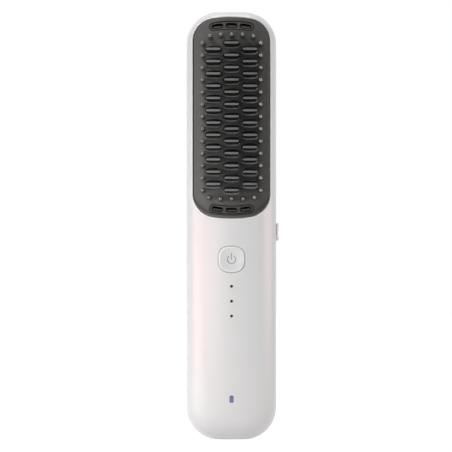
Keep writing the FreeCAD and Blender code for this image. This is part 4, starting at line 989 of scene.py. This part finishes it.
# Painted light on the vent inserts: their front is painted as lit, and their slots darker as
# painted shade.
GRILLE_DARK = FrontLitFinish(
    "vent_insert_plastic", (0.006, 0.006, 0.006), roughness=0.46, tone=0.15, spread=0.1,
    grain=4500.0, depth=6 * UM, bright=(0.100, 0.098, 0.093), low=0.0131, high=0.0137,
    smoothing=0.0, settings={"Specular IOR Level": 0.25},
)
SMOKED_LENS = WindowFinish(
    "smoked_lens", (0.020, 0.021, 0.023), roughness=0.22, tone=0.08, spread=0.06, grain=3000.0,
    depth=2 * UM, top=(0.018, 0.018, 0.020), low=0.058, high=0.074,
    settings={"Specular IOR Level": 0.25, "Coat Weight": 0.1, "Coat Roughness": 0.08},
)
BATTERY_BLUE = WindowFinish(
    "battery_blue", (0.155, 0.190, 0.300), roughness=0.25, tone=0.1, spread=0.06, grain=3000.0,
    depth=2 * UM, top=(0.06, 0.065, 0.085), low=0.02065, high=0.02215,
    settings={"Coat Weight": 0.5, "Coat Roughness": 0.1},
)
MARK_INK = Finish(
    "mark_ink", (0.33, 0.33, 0.326), roughness=0.5, tone=0.1, spread=0.1, grain=9000.0,
    depth=2 * UM,
)
PLATE_METAL = MetalFinish(
    "plate_aluminium", (0.55, 0.56, 0.57), 0.42, 0.1, 0.2, 2500.0, 6 * UM, 90.0,
)
SHEET_STEEL = MetalFinish("sheet_steel", (0.60, 0.61, 0.62), 0.32, 0.1, 0.2, 3500.0, 4 * UM, 90.0)
ZINC_SCREW = MetalFinish("zinc_screw", (0.52, 0.52, 0.50), 0.35, 0.15, 0.2, 4000.0, 4 * UM, 200.0)
SOCKET_STEEL = MetalFinish(
    "socket_steel", (0.64, 0.65, 0.66), 0.26, 0.08, 0.16, 5000.0, 3 * UM, 150.0,
)
CONTACT_GOLD = MetalFinish(
    "contact_gold", (0.85, 0.60, 0.24), 0.28, 0.1, 0.12, 5000.0, 2 * UM, 300.0,
)
NICKEL_STRIP = MetalFinish(
    "nickel_strip", (0.66, 0.62, 0.56), 0.33, 0.1, 0.2, 3500.0, 4 * UM, 120.0,
)
ALUMINA = Finish("alumina", (0.80, 0.78, 0.72), 0.62, 0.1, 0.1, 2500.0, 15 * UM, 120.0)
MICA_SHEET = Finish("mica_sheet", (0.45, 0.38, 0.25), 0.38, 0.5, 0.25, 1500.0, 10 * UM, 260.0)
SENSOR_BEAD = Finish("sensor_bead_coat", (0.62, 0.42, 0.14), 0.3, 0.15, 0.1, 3000.0, 10 * UM, 300.0)
RED_SILICONE = Finish("red_silicone", (0.50, 0.035, 0.03), 0.55, 0.15, 0.1, 4000.0, 10 * UM, 150.0)
POTTED_BLACK = Finish("potted_black", (0.03, 0.03, 0.033), 0.3, 0.3, 0.2, 1800.0, 20 * UM, 110.0)
EMITTER_BLACK = Finish(
    "emitter_black", (0.008, 0.008, 0.0085), 0.5, 0.2, 0.1, 3500.0, 10 * UM, 150.0,
    settings={"Specular IOR Level": 0.1},
)
SWITCH_BLACK = Finish(
    "switch_case_black", (0.022, 0.022, 0.023), 0.42, 0.2, 0.12, 4500.0, 8 * UM, 150.0,
)
PLUNGER_GREY = Finish("plunger_grey", (0.16, 0.16, 0.16), 0.45, 0.15, 0.1, 4500.0, 8 * UM, 150.0)
LAMP_EPOXY = Finish("lamp_epoxy", (0.80, 0.74, 0.50), 0.25, 0.1, 0.08, 3000.0, 5 * UM, 300.0)
BOARD_GREEN = BoardFinish(
    "board_mask_green", (0.016, 0.13, 0.055), 0.3, 0.1, 0.1, 3000.0, 20 * UM, 100.0,
)
CHIP_BLACK = Finish("chip_case_black", (0.02, 0.02, 0.022), 0.55, 0.25, 0.1, 3500.0, 10 * UM, 200.0)
COIL_COPPER = WoundFinish("coil_copper", (0.62, 0.26, 0.12), 0.35, 0.1, 0.1, 3000.0, 60 * UM, 200.0)
FLAT_CABLE = Finish("flat_cable", (0.62, 0.59, 0.52), 0.45, 0.1, 0.1, 3000.0, 10 * UM, 150.0)
CELL_SLEEVE = Finish(
    "cell_shrink_sleeve", (0.02, 0.13, 0.27), 0.28, 0.08, 0.14, 1200.0, 10 * UM, 60.0,
    settings={"Coat Weight": 0.4, "Coat Roughness": 0.12},
)
CARRIER_GREY = Finish("carrier_grey", (0.30, 0.31, 0.32), 0.5, 0.12, 0.1, 4500.0, 10 * UM, 70.0)


@dataclass
class Assembly:
    """A sub-assembly: solids that keep their shape, and the finish of each.

    Attributes:
        title: Words for the log.
        finishes: Finish of each solid, by node name.
    """

    title: str
    finishes: dict[str, Finish]

    def dress(self) -> None:
        """Give each solid its finish."""
        for name, finish in self.finishes.items():
            finish.paint(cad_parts[name])
            LOG.info("%s: %s in %s", self.title, name, finish.name)

    def build(self) -> None:
        """Make the pieces that the solids leave out; most assemblies have none."""

    def add(
        self, name: str, mesh: bmesh.types.BMesh, finish: Finish, body: Body
    ) -> bpy.types.Object:
        """Turn a bmesh into a finished piece.

        Args:
            name: The piece's name.
            mesh: Its shape, in the frame's place; it is freed here.
            finish: Its finish.
            body: The body that it rides on.

        Returns:
            The new object.
        """
        data = bpy.data.meshes.new(name)
        bmesh.ops.recalc_face_normals(mesh, faces=mesh.faces)
        mesh.to_mesh(data)
        mesh.free()
        piece = enter(name, data)
        finish.paint(piece)
        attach(piece, body.value)
        LOG.info("%s: %s added in %s, %d faces", self.title, name, finish.name, len(data.polygons))
        return piece


@dataclass
class ThumbButton(Assembly):
    """The dished thumb button with its printed power sign.

    Attributes:
        ring: Middle radius of the sign's ring.
        stroke: Width of its lines.
        opening: Half of the ring's opening, in degrees.
        bar: Length of the upright bar, from the ring's middle.
        ink: Thickness of the print.
        steps: Spans round the ring.
        grid: Spans across the bar and along it.
    """

    ring: float = 1.88 * MM
    stroke: float = 0.40 * MM
    opening: float = 35.0
    bar: float = 3.0 * MM
    ink: float = 0.03 * MM
    steps: int = 48
    grid: tuple[int, int] = (2, 14)

    def build(self) -> None:
        """Print the sign on the button's dished face."""
        low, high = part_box("power_button")
        middle = (low + high) / 2
        mesh = bmesh.new()
        self.draw_ring(mesh, middle)
        self.draw_bar(mesh, middle)
        self.lay_on(mesh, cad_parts["power_button"], low.y)
        piece = self.add("power_sign", mesh, MARK_INK, Body.BUTTON)
        film = piece.modifiers.new("print_film", "SOLIDIFY")
        film.thickness = self.ink
        film.offset = 0.0

    def draw_ring(self, mesh: bmesh.types.BMesh, middle: Vector) -> None:
        """Spin a short line into the open ring.

        Args:
            mesh: The sign's bmesh.
            middle: Middle of the button.
        """
        half = self.stroke / 2
        turn = Matrix.Rotation(math.radians(self.opening), 3, "Y")
        ends = []
        for radius in (self.ring - half, self.ring + half):
            spot = middle + turn @ Vector((0.0, 0.0, radius))
            ends.append(mesh.verts.new(spot))
        line = mesh.edges.new(ends)
        sweep = math.tau - 2 * math.radians(self.opening)
        bmesh.ops.spin(mesh, geom=[*ends, line], cent=middle, axis=(0.0, 1.0, 0.0),
                       angle=sweep, steps=self.steps, use_merge=False)

    def draw_bar(self, mesh: bmesh.types.BMesh, middle: Vector) -> None:
        """Lay the upright bar.

        Args:
            mesh: The sign's bmesh.
            middle: Middle of the button, where the bar's foot is.
        """
        place = Matrix.Translation(middle + Vector((0.0, 0.0, self.bar / 2)))
        size = Matrix.Diagonal((self.stroke / 2, self.bar / 2, 1.0, 1.0))
        stand = Matrix.Rotation(math.radians(90.0), 4, "X")
        across, along = self.grid
        bmesh.ops.create_grid(mesh, x_segments=across, y_segments=along, size=1.0,
                              matrix=place @ stand @ size)

    def lay_on(self, mesh: bmesh.types.BMesh, carrier: bpy.types.Object, front: float) -> None:
        """Bring every point of the sign to the carrier's face.

        Args:
            mesh: The sign's bmesh.
            carrier: The button.
            front: The button's foremost place along Y.
        """
        face = BVHTree.FromObject(carrier, bpy.context.evaluated_depsgraph_get())
        for vert in mesh.verts:
            start = Vector((vert.co.x, front - self.stroke, vert.co.z))
            spot = face.ray_cast(start, Vector((0.0, 1.0, 0.0)))[0]
            vert.co = spot - Vector((0.0, self.ink / 4, 0.0))


@dataclass
class ChargePort(Assembly):
    """The charging socket, with plated contacts on both faces of its tongue.

    Attributes:
        count: Contacts on each face.
        pitch: Distance between contacts.
        width: Width of a contact.
        inset: Distance of the contacts from the tongue's free end.
        length: Length of a contact.
        rise: How far a contact stands above the tongue.
    """

    count: int = 12
    pitch: float = 0.5 * MM
    width: float = 0.26 * MM
    inset: float = 0.35 * MM
    length: float = 3.4 * MM
    rise: float = 0.03 * MM

    def build(self) -> None:
        """Lay the contact strips on the tongue."""
        low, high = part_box("usb_socket_tongue")
        mesh = bmesh.new()
        first = (low.x + high.x) / 2 - self.pitch * (self.count - 1) / 2
        height = low.z + self.inset + self.length / 2
        for face in (low.y, high.y):
            for place in range(self.count):
                spot = Vector((first + place * self.pitch, face, height))
                size = Matrix.Diagonal((self.width, self.rise * 2, self.length, 1.0))
                bmesh.ops.create_cube(mesh, size=1.0, matrix=Matrix.Translation(spot) @ size)
        piece = self.add("socket_contacts", mesh, CONTACT_GOLD, Body.HOUSING)


@dataclass(frozen=True)
class Lamp:
    """A soft studio lamp.

    Attributes:
        name: The lamp's name.
        place: Where it stands.
        aim: What it points at.
        size: Width and height of its face.
        power: Power in watts.
        spread: Angle that its light fans out to, in degrees.
    """

    name: str
    place: Place
    aim: Place
    size: tuple[float, float]
    power: float
    spread: float = 180.0

    def hang(self) -> None:
        """Add the lamp to the scene."""
        data = bpy.data.lights.new(self.name, "AREA")
        data.shape = "RECTANGLE"
        data.size, data.size_y = self.size
        data.energy = self.power
        data.spread = math.radians(self.spread)
        lamp = enter(self.name, data)
        lamp.location = self.place
        toward = Vector(self.aim) - Vector(self.place)
        lamp.rotation_euler = toward.to_track_quat("-Z", "Y").to_euler()
        LOG.info("lamp %s of %.4f W", self.name, self.power)


@dataclass
class Studio:
    """Pale floor, white surround, soft lamps and the camera.

    Attributes:
        floor_size: Side of the floor.
        floor_color: Colour of the floor.
        floor_lift: Light that the floor shows to the camera by itself.
        floor_shade: Colour of the floor that the camera sees, which sets how dark its shadows are.
        ambient: Strength of the surround's light on the object.
        eye: Place of the camera.
        span: Width of the picture at the object's middle plane.
        lamps: The lamps.
    """

    floor_size: float = 8.0
    floor_color: Color = (0.82, 0.82, 0.82)
    floor_lift: float = 0.987
    floor_shade: Color = (0.10, 0.10, 0.10)
    ambient: float = 0.14
    eye: Place = (-0.00255, -0.600, 0.09985)
    span: float = 0.2142
    lamps: tuple[Lamp, ...] = (
        Lamp("left_near", (-0.187, -0.464, 0.07), (0.0, 0.0, 0.065), (0.26, 0.14), 0.040, 50.0),
        Lamp("left_middle", (-0.383, -0.321, 0.07), (0.0, 0.0, 0.065), (0.26, 0.14), 0.042, 50.0),
        Lamp("left_far", (-0.489, -0.104, 0.07), (0.0, 0.0, 0.065), (0.26, 0.14), 0.034, 50.0),
        Lamp("top_softbox", (-0.46, -0.46, 0.74), (0.0, 0.0, 0.13), (0.30, 0.30), 2.75),
        Lamp("right_strip", (0.545, -0.08, 0.09), (0.0, 0.0, 0.09), (0.46, 0.40), 1.35),
        Lamp("back_fill", (0.0, 0.80, 0.20), (0.0, 0.0, 0.10), (0.12, 0.50), 2.2),
        Lamp("crown_light", (0.0, 0.06, 0.75), (0.0, 0.0, 0.18), (0.30, 0.20), 1.05),
        Lamp("low_left", (-0.42, -0.25, 0.03), (0.0, 0.0, -0.004), (0.20, 0.05), 0.0055, 18.0),
    )

    def visible(self, bench: Bench) -> Socket:
        """Return a mask of the rays that show the surround: camera, glossy and transmitted ones."""
        path = bench.add("LightPath").outputs
        seen = bench.math("ADD", path["Is Camera Ray"], path["Is Glossy Ray"], clamp=True)
        return bench.math("ADD", seen, path["Is Transmission Ray"], clamp=True)

    def surround(self) -> None:
        """Make the world white to the eye and soft in its light."""
        world = bpy.data.worlds.new("white_surround")
        bench = clear_bench(world)
        light = bench.add("Background")
        end = bench.add("OutputWorld")
        seen = self.visible(bench)
        strength = bench.math("MULTIPLY_ADD", seen, 1.0 - self.ambient, self.ambient)
        bench.feed(light.inputs["Strength"], strength)
        light.inputs["Color"].default_value = opaque((1.0, 1.0, 1.0))
        bench.feed(end.inputs["Surface"], light.outputs["Background"])
        bpy.context.scene.world = world

    def floor(self) -> None:
        """Lay the pale floor, which keeps the object's shadow."""
        mesh = bmesh.new()
        bmesh.ops.create_grid(mesh, x_segments=1, y_segments=1, size=self.floor_size / 2)
        data = bpy.data.meshes.new("pale_floor")
        mesh.to_mesh(data)
        mesh.free()
        ground = enter("pale_floor", data)
        made = bpy.data.materials.new("pale_floor")
        bench = clear_bench(made)
        matt = bench.add("BsdfDiffuse")
        seen = self.visible(bench)
        shade = bench.mix(seen, opaque(self.floor_color), opaque(self.floor_shade))
        bench.feed(matt.inputs["Color"], shade)
        glow = bench.add("Emission")
        bench.feed(glow.inputs["Strength"], bench.math("MULTIPLY", seen, self.floor_lift))
        both = bench.add("AddShader")
        bench.feed(both.inputs[0], matt.outputs["BSDF"])
        bench.feed(both.inputs[1], glow.outputs["Emission"])
        end = bench.add("OutputMaterial")
        bench.feed(end.inputs["Surface"], both.outputs["Shader"])
        data.materials.append(made)

    def camera(self) -> None:
        """Stand the camera level in front of the brush, a little to its left."""
        data = bpy.data.cameras.new("front_camera")
        data.lens = data.sensor_width * -self.eye[1] / self.span
        camera = enter("front_camera", data)
        camera.location = self.eye
        camera.rotation_euler = (math.radians(90.0), 0.0, 0.0)
        bpy.context.scene.camera = camera

    def build(self) -> None:
        """Set up the whole studio."""
        self.camera()
        self.surround()
        self.floor()
        for lamp in self.lamps:
            lamp.hang()
        bpy.context.scene.view_settings.view_transform = "Standard"


ASSEMBLIES: tuple[Assembly, ...] = (
    Assembly("housing", {"front_shell": FRONT_PEARL, "rear_shell": WHITE_PEARL}),
    Assembly("comb head", {
        "comb_frame": COMB_DARK, "heating_fins": FIN_COAT, "guard_pins": PIN_NYLON,
        "upper_vent_grille": GRILLE_DARK, "lower_vent_grille": GRILLE_DARK,
        "head_screws": ZINC_SCREW,
    }),
    Assembly("heating unit", {
        "heating_plate": PLATE_METAL, "heater_elements": ALUMINA, "insulation_sheet": MICA_SHEET,
        "heater_clamp": SHEET_STEEL, "thermistor": SENSOR_BEAD, "thermal_fuse": SHEET_STEEL,
        "heater_leads": RED_SILICONE, "clamp_screws": ZINC_SCREW, "plate_screws": ZINC_SCREW,
    }),
    Assembly("ion unit", {"ion_module": POTTED_BLACK, "ion_emitters": EMITTER_BLACK}),
    ThumbButton("thumb button", {
        "power_button": BUTTON_WHITE, "tact_switch": SWITCH_BLACK, "tact_plunger": PLUNGER_GREY,
    }),
    Assembly("side switch", {
        "slide_knob": WHITE_PEARL, "slide_switch": SHEET_STEEL, "slide_lever": SWITCH_BLACK,
    }),
    Assembly("lights", {
        "light_pipe": SMOKED_LENS, "battery_lens": BATTERY_BLUE, "indicator_leds": LAMP_EPOXY,
    }),
    Assembly("control board", {
        "control_board": BOARD_GREEN, "controller_chip": CHIP_BLACK, "power_coil": COIL_COPPER,
        "board_screws": ZINC_SCREW,
    }),
    ChargePort("charging port", {
        "usb_socket_shell": SOCKET_STEEL, "usb_socket_tongue": SWITCH_BLACK,
        "usb_board": BOARD_GREEN, "usb_ribbon": FLAT_CABLE, "usb_screws": ZINC_SCREW,
    }),
    Assembly("battery", {
        "battery_cell": CELL_SLEEVE, "battery_tabs": NICKEL_STRIP, "battery_carrier": CARRIER_GREY,
        "carrier_screws": ZINC_SCREW,
    }),
)


def corners(box: tuple[Vector, Vector]) -> list[list[float]]:
    """Return a box's two corners as plain lists."""
    return [list(corner) for corner in box]


def main() -> None:
    """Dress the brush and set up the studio."""
    logging.basicConfig(level=logging.INFO, format="%(message)s")
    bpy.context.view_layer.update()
    Studio().build()
    for assembly in ASSEMBLIES:
        assembly.dress()
        assembly.build()


if __name__ == "__main__":
    main()
